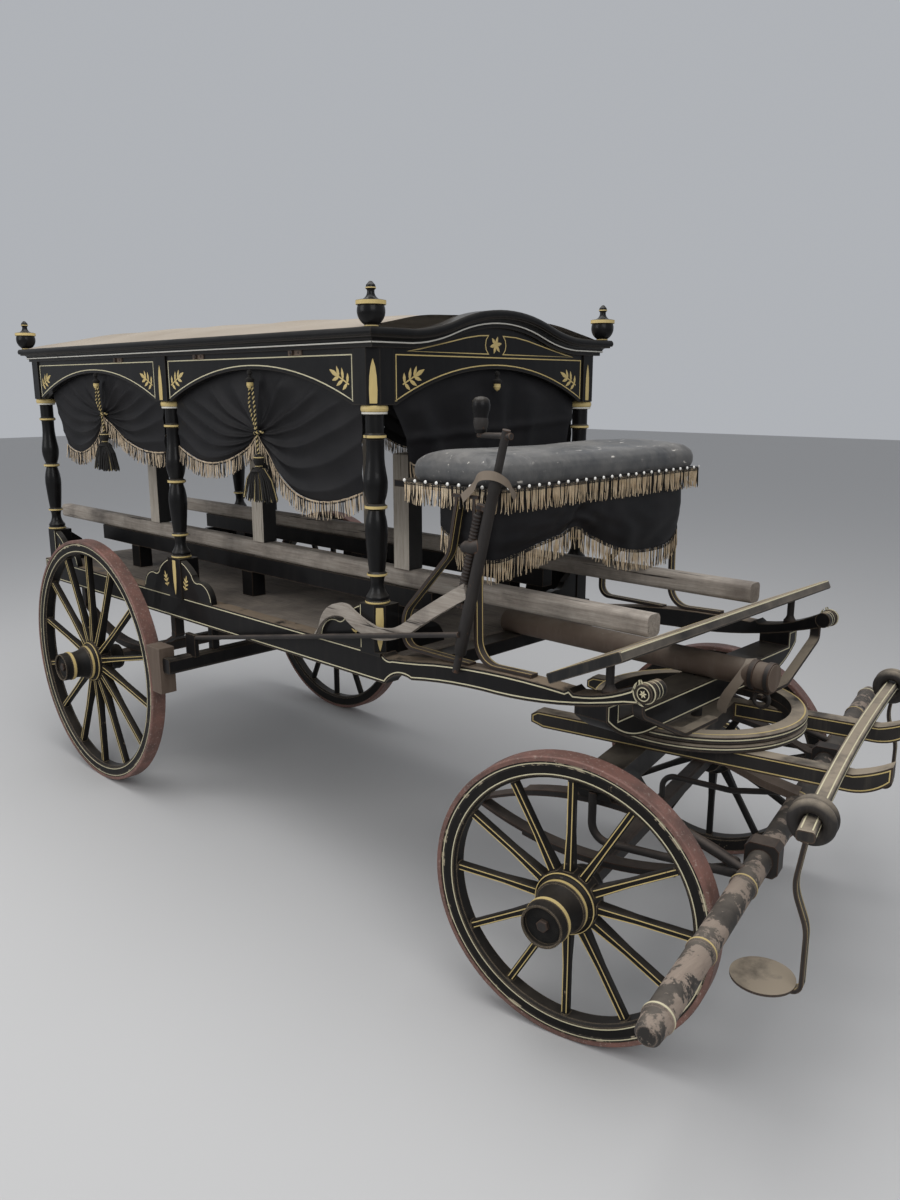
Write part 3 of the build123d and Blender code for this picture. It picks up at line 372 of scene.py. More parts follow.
# Bier posts: black at the front, weathered grey on the other faces
postLook = {"dark": (0.26, 0.225, 0.185), "light": (0.52, 0.47, 0.40), "black": (0.014, 0.013, 0.013)}
nodes, shader = newMaterial("post")
fibre, crack = (nodes.group("grain", label, Stretch=(1, 1, 0.05)) for label in ("Fibre", "Crack"))
wood = nodes.mix(nodes.ramp(fibre, 0.3, 0.7), postLook["dark"], postLook["light"])
black = nodes.ramp(nodes.maths("ABSOLUTE", nodes.part(nodes.facing(), "X")), 0.7, 0.75)
colour = nodes.mix(black, nodes.mix(crack, wood, crackColour), postLook["black"])
surface(nodes, shader, colour, nodes.maths("SUBTRACT", 0.85, nodes.times(black, 0.4)), fibre, 0.5)

# Iron tyres: brown rust, worn in places
tyreLook = {"rust": (0.22, 0.105, 0.082), "deep": (0.085, 0.052, 0.043), "worn": (0.40, 0.32, 0.27)}
nodes, shader = newMaterial("tyre", metallic=0.15)
broad = nodes.ramp(nodes.noise(9.0, 7, 0.7), 0.35, 0.7)
fine = nodes.noise(120.0, 5, 0.7)
colour = nodes.mix(broad, tyreLook["rust"], tyreLook["deep"])
colour = nodes.mix(nodes.ramp(fine, 0.56, 0.74), colour, tyreLook["worn"])
surface(nodes, shader, colour, nodes.maths("ADD", 0.45, nodes.times(fine, 0.3)), fine, 0.5, 0.0006)

# Seat leather: black gone grey with dust, scratches and a fine grain
leatherLook = {
    "black": (0.016, 0.018, 0.021), "grey": (0.095, 0.092, 0.088), "dust": (0.20, 0.185, 0.165),
    "scratch": (0.50, 0.47, 0.42),
}
nodes, shader = newMaterial("leather", sheen=0.15)
cloud = nodes.ramp(nodes.noise(7.0, 8, 0.7), 0.36, 0.66)
scratch = nodes.noise(60.0, 5, 0.65, nodes.squeezed((1, 0.25, 1), (0.4, 0.3, 0.5)))
scratch = nodes.ramp(scratch, 0.64, 0.68)
dust = nodes.group("dust", Top=0.55, Streaks=0.25)
colour = nodes.mix(dust, nodes.mix(cloud, leatherLook["black"], leatherLook["grey"]), leatherLook["dust"])
colour = nodes.mix(scratch, colour, leatherLook["scratch"])
cells = nodes.add("TexVoronoi", {"Vector": nodes.place(), "Scale": 320.0}, "Distance")
surface(nodes, shader, colour, nodes.maths("ADD", 0.42, nodes.times(cloud, 0.3)),
        nodes.maths("SUBTRACT", cells, scratch), 0.35, 0.0008)

# What a cloth has unless it says otherwise below: the values of a strand
plainCloth = {
    "scale": 40.0, "dust": 0.2, "streaks": 0.2, "rough": 0.75, "threads": 2400.0, "weave": 0.6, "crease": 0.2,
    "sheen": 0.2, "specular": 0.3,
}
cloths = {
    "drape": {
        "colour": (0.006, 0.006, 0.007), "worn": (0.012, 0.011, 0.012), "dustColour": (0.06, 0.055, 0.05),
        "scale": 6.0, "dust": 0.25, "streaks": 0.03, "rough": 0.52, "threads": 1400.0, "weave": 0.12,
        "crease": 0.35, "sheen": 0.0, "specular": 0.16,
    },
    "canvas": {
        "colour": (0.25, 0.205, 0.155), "worn": (0.35, 0.30, 0.24), "dustColour": (0.15, 0.125, 0.10),
        "scale": 3.5, "dust": 0.35, "streaks": 0.5, "rough": 0.9, "threads": 900.0, "weave": 0.5,
        "crease": 0.8, "sheen": 0.1,
    },
    "beigeStrand": {
        "colour": (0.42, 0.31, 0.195), "worn": (0.62, 0.50, 0.35), "dustColour": (0.24, 0.19, 0.14),
    },
    "tanStrand": {
        "colour": (0.48, 0.35, 0.21), "worn": (0.74, 0.61, 0.43), "dustColour": (0.36, 0.29, 0.21),
        "dust": 0.3, "streaks": 0.3,
    },
    "blackStrand": {
        "colour": (0.006, 0.0055, 0.0055), "worn": (0.018, 0.016, 0.014), "dustColour": (0.10, 0.085, 0.07),
        "dust": 0.1, "streaks": 0.1, "rough": 0.65, "sheen": 0.05, "specular": 0.15,
    },
    "goldStrand": {
        "colour": (0.48, 0.36, 0.13), "worn": (0.62, 0.50, 0.25), "dustColour": (0.25, 0.20, 0.12),
        "rough": 0.5,
    },
}
for name, look in cloths.items():
    look = {**plainCloth, **look}
    nodes, shader = newMaterial(name, sheen=look["sheen"], specular=look["specular"])
    tone = nodes.ramp(nodes.noise(look["scale"]), 0.3, 0.7)
    dust = nodes.group("dust", Top=look["dust"], Streaks=look["streaks"])
    colour = nodes.mix(dust, nodes.mix(tone, look["colour"], look["worn"]), look["dustColour"])
    weave = nodes.times(nodes.group("weave", Threads=look["threads"]), look["weave"])
    crease = nodes.times(nodes.noise(22.0), look["crease"])
    surface(nodes, shader, colour, look["rough"], nodes.maths("ADD", weave, crease), 0.6, 0.0015)
print("materials ready")

# Finish of each CAD node, by the first of these words in its name, else body paint
wordFinish = {
    "bier_rails": "greyWood", "brake_arm": "greyWood", "deck_planks": "planks", "bier_posts": "post",
    "brake_shoes": "brown", "centre_beam": "brown", "bar_arm": "brown", "splinter_bar": "peeled",
    "step_bow": "dusty", "step_irons": "dusty", "spring": "iron", "ring": "dusty", "futchells": "dusty",
    "sill": "sill", "footboard_irons": "iron", "footboard": "board", "column": "glossy", "urn": "glossy",
    "cap_block": "glossy", "frieze": "glossy", "cornice": "glossy", "plinth": "glossy",
    "tyre": "tyre", "wheel": "wheel",
    "iron": "iron", "stay": "iron", "rod": "iron", "lever": "iron", "clamp": "iron", "axle": "iron",
}
for name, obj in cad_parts.items():
    finish = next((finish for word, finish in wordFinish.items() if word in name), "body")
    obj.data.materials.clear()
    obj.data.materials.append(materials[finish])
print("CAD nodes painted")


# Mesh building: a pile of corners and faces that ends as one object
def circleRound(centre, radius, a, b, count):
    angles = (2 * math.pi * k / count for k in range(count))
    return [centre + radius * (a * math.cos(angle) + b * math.sin(angle)) for angle in angles]


def fan(count):
    # triangles from a rim of corners to the one that follows them
    return [(i, (i + 1) % count, count) for i in range(count)]


class Pile:
    def __init__(self, name, body, *finishes):
        self.name = name
        self.body = body
        self.finishes = finishes
        self.verts = []
        self.faces = []
        self.slots = []

    def add(self, verts, faces, slot=0):
        start = len(self.verts)
        self.verts += [Vector(v) for v in verts]
        self.faces += [tuple(start + i for i in face) for face in faces]
        self.slots += [slot] * len(faces)

    # Faces between rows of points; closed joins each row's end to its start
    def grid(self, rows, slot=0, closed=False):
        width = len(rows[0])
        last = width if closed else width - 1
        faces = []
        for start in range(0, width * (len(rows) - 1), width):
            for i in range(last):
                j = (i + 1) % width
                faces.append((start + i, start + j, start + width + j, start + width + i))
        self.add([p for row in rows for p in row], faces, slot)

    # A round bar along points; radii is one number or one for each point
    def tube(self, path, radii, sides=6, slot=0, capped=True):
        if not hasattr(radii, "__len__"):
            radii = [radii] * len(path)
        rows = []
        for i, point in enumerate(path):
            ahead = path[min(i + 1, len(path) - 1)] - path[max(i - 1, 0)]
            across = ahead.cross(Vector((0.3, 1, 0.1))).normalized()
            rows.append(circleRound(point, radii[i], across, ahead.cross(across).normalized(), sides))
        self.grid(rows, slot, closed=True)
        if capped:
            start = len(self.verts) - len(rows) * sides
            self.faces += [tuple(start + k for k in reversed(range(sides))),
                           tuple(start + (len(rows) - 1) * sides + k for k in range(sides))]
            self.slots += [slot, slot]

    # A thin raised strip along points that lie on a flat face with that normal
    def ribbon(self, path, normal, width, thick, slot=0, closed=False):
        normal = Vector(normal).normalized()
        rows = []
        count = len(path)
        for i, point in enumerate(path):
            before = path[(i - 1) % count] if closed else path[max(i - 1, 0)]
            after = path[(i + 1) % count] if closed else path[min(i + 1, count - 1)]
            into = (point - before).normalized()
            onward = (after - point).normalized()
            if into.length < 0.5:
                into = onward
            if onward.length < 0.5:
                onward = into
            middle = into + onward
            middle = middle.normalized() if middle.length > 0.1 else onward
            stretch = 1 / max(0.45, middle.dot(onward))
            side = normal.cross(middle) * (width / 2 * stretch)
            lift = normal * thick
            rows.append([point - side - lift, point - side * 0.8 + lift, point + side * 0.8 + lift,
                         point + side - lift])
        if closed:
            rows.append(rows[0])
        self.grid(rows, slot)

    # A turned form: profile rows are (distance along the axis, radius)
    def turned(self, place, axis, profile, segments=20, slot=0):
        axis = Vector(axis).normalized()
        across = axis.cross(Vector((0.2, 0.1, 1)) if abs(axis.z) < 0.9 else Vector((1, 0, 0))).normalized()
        other = axis.cross(across).normalized()
        rows = [circleRound(place + axis * h, r, across, other, segments) for h, r in profile]
        self.grid(rows, slot, closed=True)

    def make(self, smooth=False, slotName=None):
        mesh = bpy.data.meshes.new(self.name)
        mesh.from_pydata(self.verts, [], self.faces)
        for finish in self.finishes:
            mesh.materials.append(materials[finish])
        mesh.polygons.foreach_set("material_index", self.slots)
        mesh.update()
        work = bmesh.new()
        work.from_mesh(mesh)
        bmesh.ops.recalc_face_normals(work, faces=work.faces)
        work.to_mesh(mesh)
        work.free()
        if smooth:
            mesh.polygons.foreach_set("use_smooth", [True] * len(mesh.polygons))
        obj = bpy.data.objects.new(self.name, mesh)
        scene.collection.objects.link(obj)
        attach(obj, self.body)
        return obj


# A flat face of the carriage, with a and b along it and h out of it
class Wall:
    def __init__(self, origin, along, up, out):
        self.origin, self.along, self.up, self.out = (Vector(v) for v in (origin, along, up, out))

    def at(self, a, b, h=0.0):
        return self.origin + self.along * a + self.up * b + self.out * h


def sideWall(side, y, x=0):
    return Wall(at(x, side * y, 0), (1, 0, 0), upward, (0, side, 0))


def endWall(x, out=1):
    return Wall(at(x, 0, 0), (0, 1, 0), upward, (out, 0, 0))


# Points on the circle through three points of a wall
def arcPoints(a, via, b, count=10):
    (ax, ay), (bx, by), (cx, cy) = a, via, b
    squares = [x * x + y * y for x, y in (a, via, b)]
    d = 2 * (ax * (by - cy) + bx * (cy - ay) + cx * (ay - by))
    ux = (squares[0] * (by - cy) + squares[1] * (cy - ay) + squares[2] * (ay - by)) / d
    uy = (squares[0] * (cx - bx) + squares[1] * (ax - cx) + squares[2] * (bx - ax)) / d
    r = math.hypot(ax - ux, ay - uy)
    start, mid, end = (math.atan2(y - uy, x - ux) for x, y in (a, via, b))
    sweep = (end - start) % (2 * math.pi)
    if (mid - start) % (2 * math.pi) > sweep:
        sweep -= 2 * math.pi
    angles = [start + sweep * i / count for i in range(count + 1)]
    return [(ux + r * math.cos(angle), uy + r * math.sin(angle)) for angle in angles]


# Outlines of a CAD node's flat faces that look along normal at that distance
def faceLoops(node, normal, offset, reach=0.0004):
    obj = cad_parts[node]
    normal = Vector(normal)
    weld = {}
    keys = []
    places = {}
    for vertex in obj.data.vertices:
        p = obj.matrix_world @ vertex.co
        key = weld.setdefault((round(p.x, 5), round(p.y, 5), round(p.z, 5)), len(weld))
        keys.append(key)
        places[key] = p
    edges = {}
    for poly in obj.data.polygons:
        corners = [keys[i] for i in poly.vertices]
        if all(abs(places[k].dot(normal) - offset) < reach for k in corners):
            for a, b in zip(corners, corners[1:] + corners[:1]):
                if (b, a) in edges:
                    del edges[(b, a)]
                else:
                    edges[(a, b)] = True
    following = {}
    for a, b in edges:
        following.setdefault(a, []).append(b)
    loops = []
    while following:
        start = here = next(iter(following))
        loop = [start]
        while here in following:
            ends = following[here]
            onward = ends.pop()
            if not ends:
                del following[here]
            here = onward
            if here == start:
                break
            loop.append(here)
        if len(loop) > 3:
            loops.append([places[k] for k in loop])
    return loops


# A loop moved inwards along its own plane, without the corners it passes
def inset(loop, normal, distance):
    normal = Vector(normal)
    middle = sum(loop, Vector()) / len(loop)
    area = sum(((a - middle).cross(b - middle) for a, b in zip(loop, loop[1:] + loop[:1])), Vector())
    inward = 1 if area.dot(normal) > 0 else -1
    moved = []
    for i, point in enumerate(loop):
        into = (point - loop[i - 1]).normalized()
        onward = (loop[(i + 1) % len(loop)] - point).normalized()
        middleWay = into + onward
        if middleWay.length < 0.2:
            continue
        side = normal.cross(middleWay.normalized()) * inward
        corner = max(0.5, middleWay.normalized().dot(onward))
        moved.append(point + side * distance / corner)
    return moved


# A line inside the edge of each flat face that looks along normal, kept under a top height if one is given
def edgeLines(pile, node, normal, offset, inwards, width, slot=0, top=None):
    for loop in faceLoops(node, normal, offset):
        line = inset(loop, normal, inwards)
        if top:
            limit = top + floorZ
            kept = [Vector((p.x, p.y, min(p.z, limit))) for p in line]
            line = [p for i, p in enumerate(kept) if (p - kept[i - 1]).length > 0.0015]
        pile.ribbon(line, normal, width, lineLift, slot, closed=True)


# A flat ring that stands on a round face, with its edges let in
def bandRows(radius, height, lip=0.0005, drop=0.002):
    return [(0, radius - drop), (lip, radius), (height - lip, radius), (height, radius - drop)]


# A pointed leaf with a raised middle
def leaf(pile, wall, a, b, angle, length, width, lift=0.0012):
    c, s = math.cos(angle), math.sin(angle)

    def point(x, y, h):
        return wall.at(a + length * x * c - width * y * s, b + length * x * s + width * y * c, h)

    half = ((0.25, 0.42), (0.55, 0.5), (0.85, 0.22))
    shape = [(0, 0), *half, (1, 0), *((x, -y) for x, y in reversed(half))]
    pile.add([point(x, y, 0.0003) for x, y in shape] + [point(0.5, 0, lift)], fan(len(shape)))


# A stem with seven leaves
def sprig(pile, wall, a, b, angle, size):
    def along(t):
        return a + size * t * math.cos(angle), b + size * t * math.sin(angle)

    pile.ribbon([wall.at(*along(t)) for t in (0, 0.3, 0.6)], wall.out, size * 0.05, 0.0006)
    leaf(pile, wall, *along(0.55), angle, size * 0.45, size * 0.14)
    for share, bend, reach in ((0.08, 1.15, 0.30), (0.30, 0.95, 0.36), (0.50, 0.75, 0.34)):
        for way in (-1, 1):
            leaf(pile, wall, *along(share), angle + way * bend, size * reach, size * 0.115)


# A tapered bar with one flat end and one pointed end
def obelisk(pile, wall, a, flatEnd, tip, width):
    shape = ((0.0, 0.48), (0.3, 0.54), (0.62, 0.46), (0.82, 0.30), (0.94, 0.12))
    rim = [*shape, (1.0, 0.0)] + [(s, -w) for s, w in reversed(shape)]
    points = [wall.at(a + width * w, flatEnd + (tip - flatEnd) * s, 0.0004) for s, w in rim]
    pile.add(points + [wall.at(a, flatEnd + (tip - flatEnd) * 0.4, 0.0016)], fan(len(points)))


def star(pile, wall, a, b, radius, petals=6):
    for i in range(petals):
        leaf(pile, wall, a, b, 2 * math.pi * i / petals + 0.2, radius, radius * 0.42, 0.002)


# Gold, cream and silver ornament on the body
lineWidth = 0.0042
lineLift = 0.0005
faces = {"frieze": 0.545, "plinth": 0.539, "sill": 0.535, "cornice": 0.5635}   # out from the middle
ends = ((1, 0.037, 0.0545, -0.010), (-1, -2.314, -2.3115, 0.0))     # way out, frieze, cornice, panels' middle
ornament = {
    "friezeTop": 1.757,                # of the lines round each arch
    "friezeInset": 0.012,
    "endArch": 0.453,                  # half the width of an end's arch
    "sprigStart": (0.026, 1.671),      # from the arch's end, and height
    "sprigTilt": 0.46,
    "sprigSize": 0.102,
    # of the bars on the chamfers: how far out, the chamfer, half a block, flat end and point
    "bars": ((0.551, 0.030, capHalf, (1.617, 1.745)), (0.543, 0.026, 0.046, (1.004, 0.866))),
    "barWidth": 0.023,
    "frontBar": (0.490, 0.019),        # beside the front frieze: place and width
    "plinthLine": (0.868, 1.006),      # lower and upper height
    "plinthEdgeWidth": 0.003,
    "plinthInset": 0.005,
    "plinthWidth": 0.0034,
    "sillInset": 0.0085,
    "plinthSprig": (0.066, 0.893, 0.25, 0.062),     # from the column, height, tilt, size
    "panelEnds": (1.768, 1.826),       # heights of the pediment's panels
    "panelInner": ((0.036, 0.0), (0.047, 0.014), (0.050, 0.029), (0.047, 0.044), (0.036, 0.058)),
    "panelOuter": ((0.09, 0.965), (0.15, 0.82), (0.22, 0.58), (0.30, 0.31), (0.36, 0.12), (0.405, 0.0)),
    "starRadius": 0.029,
    "panelWidth": 0.004,
    "silverEnds": (-2.31, 0.054),
    "silverHeight": 1.790,
    "silverSize": (0.0045, 0.0008),    # width and thickness
    "crown": 1.776,                    # height from which an end's top edge rises
}
gold = Pile("gold_ornament", "carriage", "gold")
cream = Pile("cream_lines", "carriage", "cream")
silver = Pile("silver_lines", "carriage", "silver")


# A sprig in each corner over an arch
def archSprigs(wall, start, end):
    inwards, height = ornament["sprigStart"]
    tilt = ornament["sprigTilt"]
    sprig(gold, wall, start + inwards, height, tilt, ornament["sprigSize"])
    sprig(gold, wall, end - inwards, height, math.pi - tilt, ornament["sprigSize"])


crownLoop = max(faceLoops("frieze_ends", (1, 0, 0), frontX + ends[0][1]), key=len)
crownRise = [(round(p.y, 4), p.z - floorZ - ornament["crown"]) for p in crownLoop]
crownPoints = sorted((y, rise) for y, rise in crownRise if rise > 0.0005)
for side in sides:
    facing = (0, side, 0)
    outer = sideWall(side, faces["frieze"])
    for bay in bayEnds:
        archSprigs(outer, *bay)
    for x, out in zip(columnXs, (1, 0, -1)):
        for number, (y, chamfer, half, heights) in enumerate(ornament["bars"]):
            wall = sideWall(side, y, x)
            if out:
                origin = at(x + out * (half - chamfer / 2), side * (y - chamfer / 2), 0)
                away = Vector((out, side, 0)).normalized()
                wall = Wall(origin, (-away.y, away.x, 0), upward, away)
            obelisk(gold, wall, 0, *heights, ornament["barWidth"])
            if number and out:
                edge = sideWall(side, y).at(x - out * (half - 0.004), 0.0)
                cream.ribbon([edge + upward * z for z in ornament["plinthLine"]], facing,
                             ornament["plinthEdgeWidth"], lineLift)
    edgeLines(cream, "frieze_sides", facing, faces["frieze"], ornament["friezeInset"], lineWidth,
              top=ornament["friezeTop"])
    for loop in faceLoops("plinths", facing, faces["plinth"]):
        lowest = ornament["plinthLine"][0] + floorZ
        line = [p for p in inset(loop, facing, ornament["plinthInset"]) if p.z > lowest]
        gaps = [(line[(i + 1) % len(line)] - p).length for i, p in enumerate(line)]
        start = (gaps.index(max(gaps)) + 1) % len(line)
        line = line[start:] + line[:start]
        cream.ribbon(line, facing, ornament["plinthWidth"], lineLift)
        middle = sum(line, Vector()) / len(line)
        base = min(columnXs, key=lambda x: abs(frontX + x - middle.x))
        way = 1 if middle.x > frontX + base else -1
        reach, height, tilt, size = ornament["plinthSprig"]
        sprig(gold, sideWall(side, faces["plinth"]), base + way * reach, height,
              math.pi / 2 - way * tilt, size)
    edgeLines(cream, "sill_" + ("right" if side < 0 else "left"), facing, faces["sill"],
              ornament["sillInset"], lineWidth)
    silverLine = [at(x, side * faces["cornice"], ornament["silverHeight"]) for x in ornament["silverEnds"]]
    silver.ribbon(silverLine, facing, *ornament["silverSize"])
for out, x, cornice, centre in ends:
    wall = endWall(x, out)
    edgeLines(gold if out > 0 else cream, "frieze_ends", (out, 0, 0), wall.origin.x * out,
              ornament["friezeInset"], lineWidth, top=ornament["friezeTop"])
    low, high = ornament["panelEnds"]
    star(gold, wall, centre, (low + high) / 2, ornament["starRadius"])
    archSprigs(wall, -ornament["endArch"], ornament["endArch"])
    for way in (-1, 1):
        panel = [(centre + way * a, low + rise) for a, rise in ornament["panelInner"]]
        panel += [(way * a, low + (high - low) * share) for a, share in ornament["panelOuter"]]
        gold.ribbon([wall.at(a, b) for a, b in panel], wall.out, ornament["panelWidth"], lineLift,
                    closed=True)
    edge = endWall(cornice, out)
    line = [(-faces["cornice"], 0.0), *crownPoints, (faces["cornice"], 0.0)]
    silver.ribbon([edge.at(a, ornament["silverHeight"] + rise, 0.0003) for a, rise in line], wall.out,
                  *ornament["silverSize"])
obelisk(gold, endWall(capHalf), ornament["frontBar"][0], *ornament["bars"][0][3], ornament["frontBar"][1])
gold.make(slotName="black_wood")
cream.make(slotName="black_wood")
silver.make(slotName="black_wood")

rings = Pile("column_rings", "carriage", "gold", "silver")
columnRings = (
    # slot, and rows of height and radius
    (0, ((1.0122, 0.0338), (1.0150, 0.0382), (1.0190, 0.0386), (1.0232, 0.0352))),
    (0, ((1.0995, 0.0300), (1.1000, 0.0316), (1.1060, 0.0316), (1.1065, 0.0300))),
    (0, ((1.3055, 0.0330), (1.3060, 0.0346), (1.3140, 0.0346), (1.3145, 0.0330))),
    (0, ((1.5165, 0.0330), (1.5170, 0.0346), (1.5240, 0.0346), (1.5245, 0.0330))),
    (1, ((1.5858, 0.0370), (1.5862, 0.0386), (1.5918, 0.0386), (1.5922, 0.0380))),
    (0, ((1.5926, 0.0384), (1.5950, 0.0404), (1.6010, 0.0416), (1.6070, 0.0408), (1.6112, 0.0386))),
)
for x in columnXs:
    for side in sides:
        for slot, rows in columnRings:
            rings.turned(at(x, side * columnY, 0), upward, rows, 32, slot)
urnLook = {
    "xs": (0.052, -2.309), "y": 0.560, "foot": 1.830,
    # height over the foot, radius and width of each band
    "bands": ((0.060, 0.0434, 0.012), (0.001, 0.0206, 0.004), (0.104, 0.0152, 0.004), (0.022, 0.0352, 0.003)),
}
for x in urnLook["xs"]:
    for side in sides:
        for z, radius, height in urnLook["bands"]:
            place = at(x, side * urnLook["y"], urnLook["foot"] + z)
            rings.turned(place, upward, bandRows(radius, height), 28)
rings.make(slotName="black_wood")

catchLook = {
    "xs": (-1.483, -0.889, -0.326), "height": 1.7685, "half": (0.034, 0.034 / 3.6), "thick": 0.005,
    "topShare": (0.95, 0.85),          # of the plate's face, against its foot
    # each knob's place along the plate, and its rows and segments
    "knobs": ((-0.008, ((0, 0.0085), (0.009, 0.0075), (0.0105, 0.001)), 12),
              (0.022, ((0, 0.0050), (0.003, 0.0040), (0.0035, 0.001)), 10)),
}
catches = Pile("frieze_catches", "carriage", "iron", "brown")
for side in sides:
    wall = sideWall(side, faces["frieze"])
    (halfX, halfZ), (topX, topZ), z = catchLook["half"], catchLook["topShare"], catchLook["height"]
    for x in catchLook["xs"]:
        rows = [[wall.at(x + dx * halfX * shareX, z + dz * halfZ * shareZ, h) for dx, dz in square]
                for shareX, shareZ, h in ((1, 1, 0), (topX, topZ, catchLook["thick"]))]
        catches.grid(rows, 1, closed=True)
        catches.add(rows[1], [(0, 1, 2, 3)], 1)
        for shift, rows, segments in catchLook["knobs"]:
            catches.turned(wall.at(x + shift, z, 0.004), wall.out, rows, segments)
catches.make(slotName="black_iron")
print("ornament ready")

# Wheels: two lines on each spoke, one on each felloe side, bands and open ends on the naves
wheels = (
    # body, hub centre, way out, turn, spokes, radius inside the felloes and at the rim
    ("wheel_front_right", atFore(-0.112, -0.606, 0.388), -1, restSteer, 12, 0.329, 0.375),
    ("wheel_front_left", atFore(-0.112, 0.606, 0.388), 1, restSteer, 12, 0.329, 0.375),
    ("wheel_rear_right", at(-1.659, -0.653, 0.520), -1, 0.0, 14, 0.461, 0.507),
    ("wheel_rear_left", at(-1.659, 0.653, 0.520), 1, 0.0, 14, 0.461, 0.507),
)
wheelLook = {
    "naveRadius": 0.072,
    "waist": 0.45,                     # share of a spoke's length at which it is slim
    "feet": (0.088, 0.0085, 0.0188),   # of the spoke lines: radius, half their gap, how far out
    "slim": (0.0062, 0.0130),
    "spokeLine": (0.0028, 0.0004),     # width and thickness
    "felloeFace": 0.0263,
    "felloeGaps": (0.012, 0.006),      # of the felloe lines, from the inner edge and from the rim
    "felloeLine": (0.003, 0.0004),
    "chipped": (0.0065, 0.0115, 0.0002),     # worn strip: in from the rim, width and thickness
    # distance along the axle, radius and length of each nave band
    "bands": ((0.0435, 0.0712, 0.010), (0.1165, 0.0598, 0.012), (0.0290, 0.0826, 0.004)),
    # rows of distance along the axle and radius, with segments and slot: open end, painted shade inside (a
    # matte black disc for the dark hollow), nut
    "nave": (
        (((0.1280, 0.0540), (0.1285, 0.0575), (0.1570, 0.0565), (0.1595, 0.0550), (0.1595, 0.0515),
          (0.1575, 0.0495), (0.1440, 0.0485)), 40, 2),
        # painted shade: a matte black disc at the bottom of the open end stands for the dark hollow
        (((0.1452, 0.0490), (0.1457, 0.0010)), 24, 3),
        (((0.1450, 0.0165), (0.1545, 0.0165), (0.1560, 0.0145), (0.1560, 0.0005)), 6, 4),
    ),
}
for body, hub, side, turn, spokes, inner, rim in wheels:
    pile = Pile(body + "_lines", body, "gold", "cream", "wheel", "blackStrand", "iron", "chipped")
    basis = Matrix.Rotation(turn, 3, "Z")
    along, outward = basis @ Vector((1, 0, 0)), basis @ Vector((0, side, 0))
    waist = wheelLook["naveRadius"] + (inner - wheelLook["naveRadius"]) * wheelLook["waist"]
    line = (wheelLook["feet"], (waist, *wheelLook["slim"]), (inner - 0.006, *wheelLook["slim"]))
    for i in range(spokes):
        angle = 2 * math.pi * i / spokes
        ray = along * math.sin(angle) + upward * math.cos(angle)
        across = along * math.cos(angle) - upward * math.sin(angle)
        for way in (-1, 1):
            path = [hub + ray * r + across * way * half + outward * (depth + 0.0004)
                    for r, half, depth in line]
            pile.ribbon(path, outward, *wheelLook["spokeLine"])
    face = hub + outward * wheelLook["felloeFace"]
    innerGap, rimGap = wheelLook["felloeGaps"]
    for radius in (inner + innerGap, rim - rimGap):
        circle = circleRound(face, radius, upward, along, 96)
        pile.ribbon(circle, outward, *wheelLook["felloeLine"], 1, closed=True)
    for start, radius, length in wheelLook["bands"]:
        pile.turned(hub + outward * start, outward, bandRows(radius, length, 0.0006), 40)
    # each nave's open end, its painted shade disc and its nut
    for rows, segments, slot in wheelLook["nave"]:
        pile.turned(hub, outward, rows, segments, slot)
    chippedGap, *chippedSize = wheelLook["chipped"]
    chipped = circleRound(face - outward * 0.0001, rim - chippedGap, upward, along, 96)
    pile.ribbon(chipped, outward, *chippedSize, 5, closed=True)
    pile.make(slotName="black_wood")
print("wheel lines ready")


# Soft goods: swagged drapes, fringe, tassels, valance, cushion and roof canvas
def bow(a, pull, b, t):
    return tuple((1 - t) ** 2 * p + 2 * t * (1 - t) * q + t * t * r for p, q, r in zip(a, pull, b))


def ripple(point, scale, height):
    return noise.noise(Vector(point) * scale) * height


drapeLook = {
    "folds": 6.5,
    "foldDepth": 0.019,
    "foldEdge": 0.75,      # under 1 the folds have sharp ridges
    "belly": 0.012,
    "wander": 0.05,        # of the folds from straight rays
    "crumple": 0.006,
    "pinch": (0.018, 0.0035),   # how far the gather stands out, and its spread
    "tie": (0.006, 0.020),      # half width and height of the gather
    "crowding": (1.15, 1.25),   # of rays towards the gather, and of steps near it
    "sagGrowth": 1.4,      # how much more the lower rays sag
    "archGap": 0.012,
    "archFade": 0.05,      # height over which the folds come out from behind the arch
    "upShare": 0.4,        # of the rays that end on the nailed edge
    "top": 1.742,          # where the cloth is nailed behind the frieze
    "plane": 0.5165,       # from the centre line to the nailed edge
    "arch": (1.612, 0.110),     # height of the frieze's arch at its ends, and its rise
    "fringe": 0.058,
    "strandGap": 0.0042,
    "tassel": (0.145, 0.092, 0.030),    # length, half width and depth
    "acornHeight": 1.716,
    # from the acorn, from the acorn, and round the tie
    "ropes": (((0.012, 0, -0.050), (0.020, 0, -0.12)), ((-0.004, 0, -0.050), (-0.010, 0, -0.11)),
              ((-0.022, -0.016, 0), (0, 0.006, -0.004), (0.022, -0.016, 0.002))),
    "ropeRadius": 0.0042,
    "tieRadius": 0.0055,
    "rays": 84,
    "steps": 30,
}
bays = (
    # gather, then for each half: top corner's x, hem's end and the point that pulls the hem down
    ((-0.560, 1.505), ((-0.046, (-0.046, 1.352), (-0.395, 1.215)),
                       (-1.112, (-1.100, 1.448), (-0.832, 1.326)))),
    ((-1.660, 1.545), ((-1.204, (-1.210, 1.420), (-1.442, 1.396)),
                       (-2.230, (-2.060, 1.416), (-1.821, 1.322)))),
)


# The value at x on straight lines between points that run down in x
def between(points, x):
    value = points[-1][1]
    for (x0, v0), (x1, v1) in zip(points, points[1:]):
        if x1 <= x <= x0:
            value = v1 + (v0 - v1) * (x - x1) / (x0 - x1)
    return value


# Underside of a frieze's arch at a distance from its middle
def archHeight(away, half):
    low, rise = drapeLook["arch"]
    return low + rise * (1 - min(1.0, abs(away) / half) ** 2)


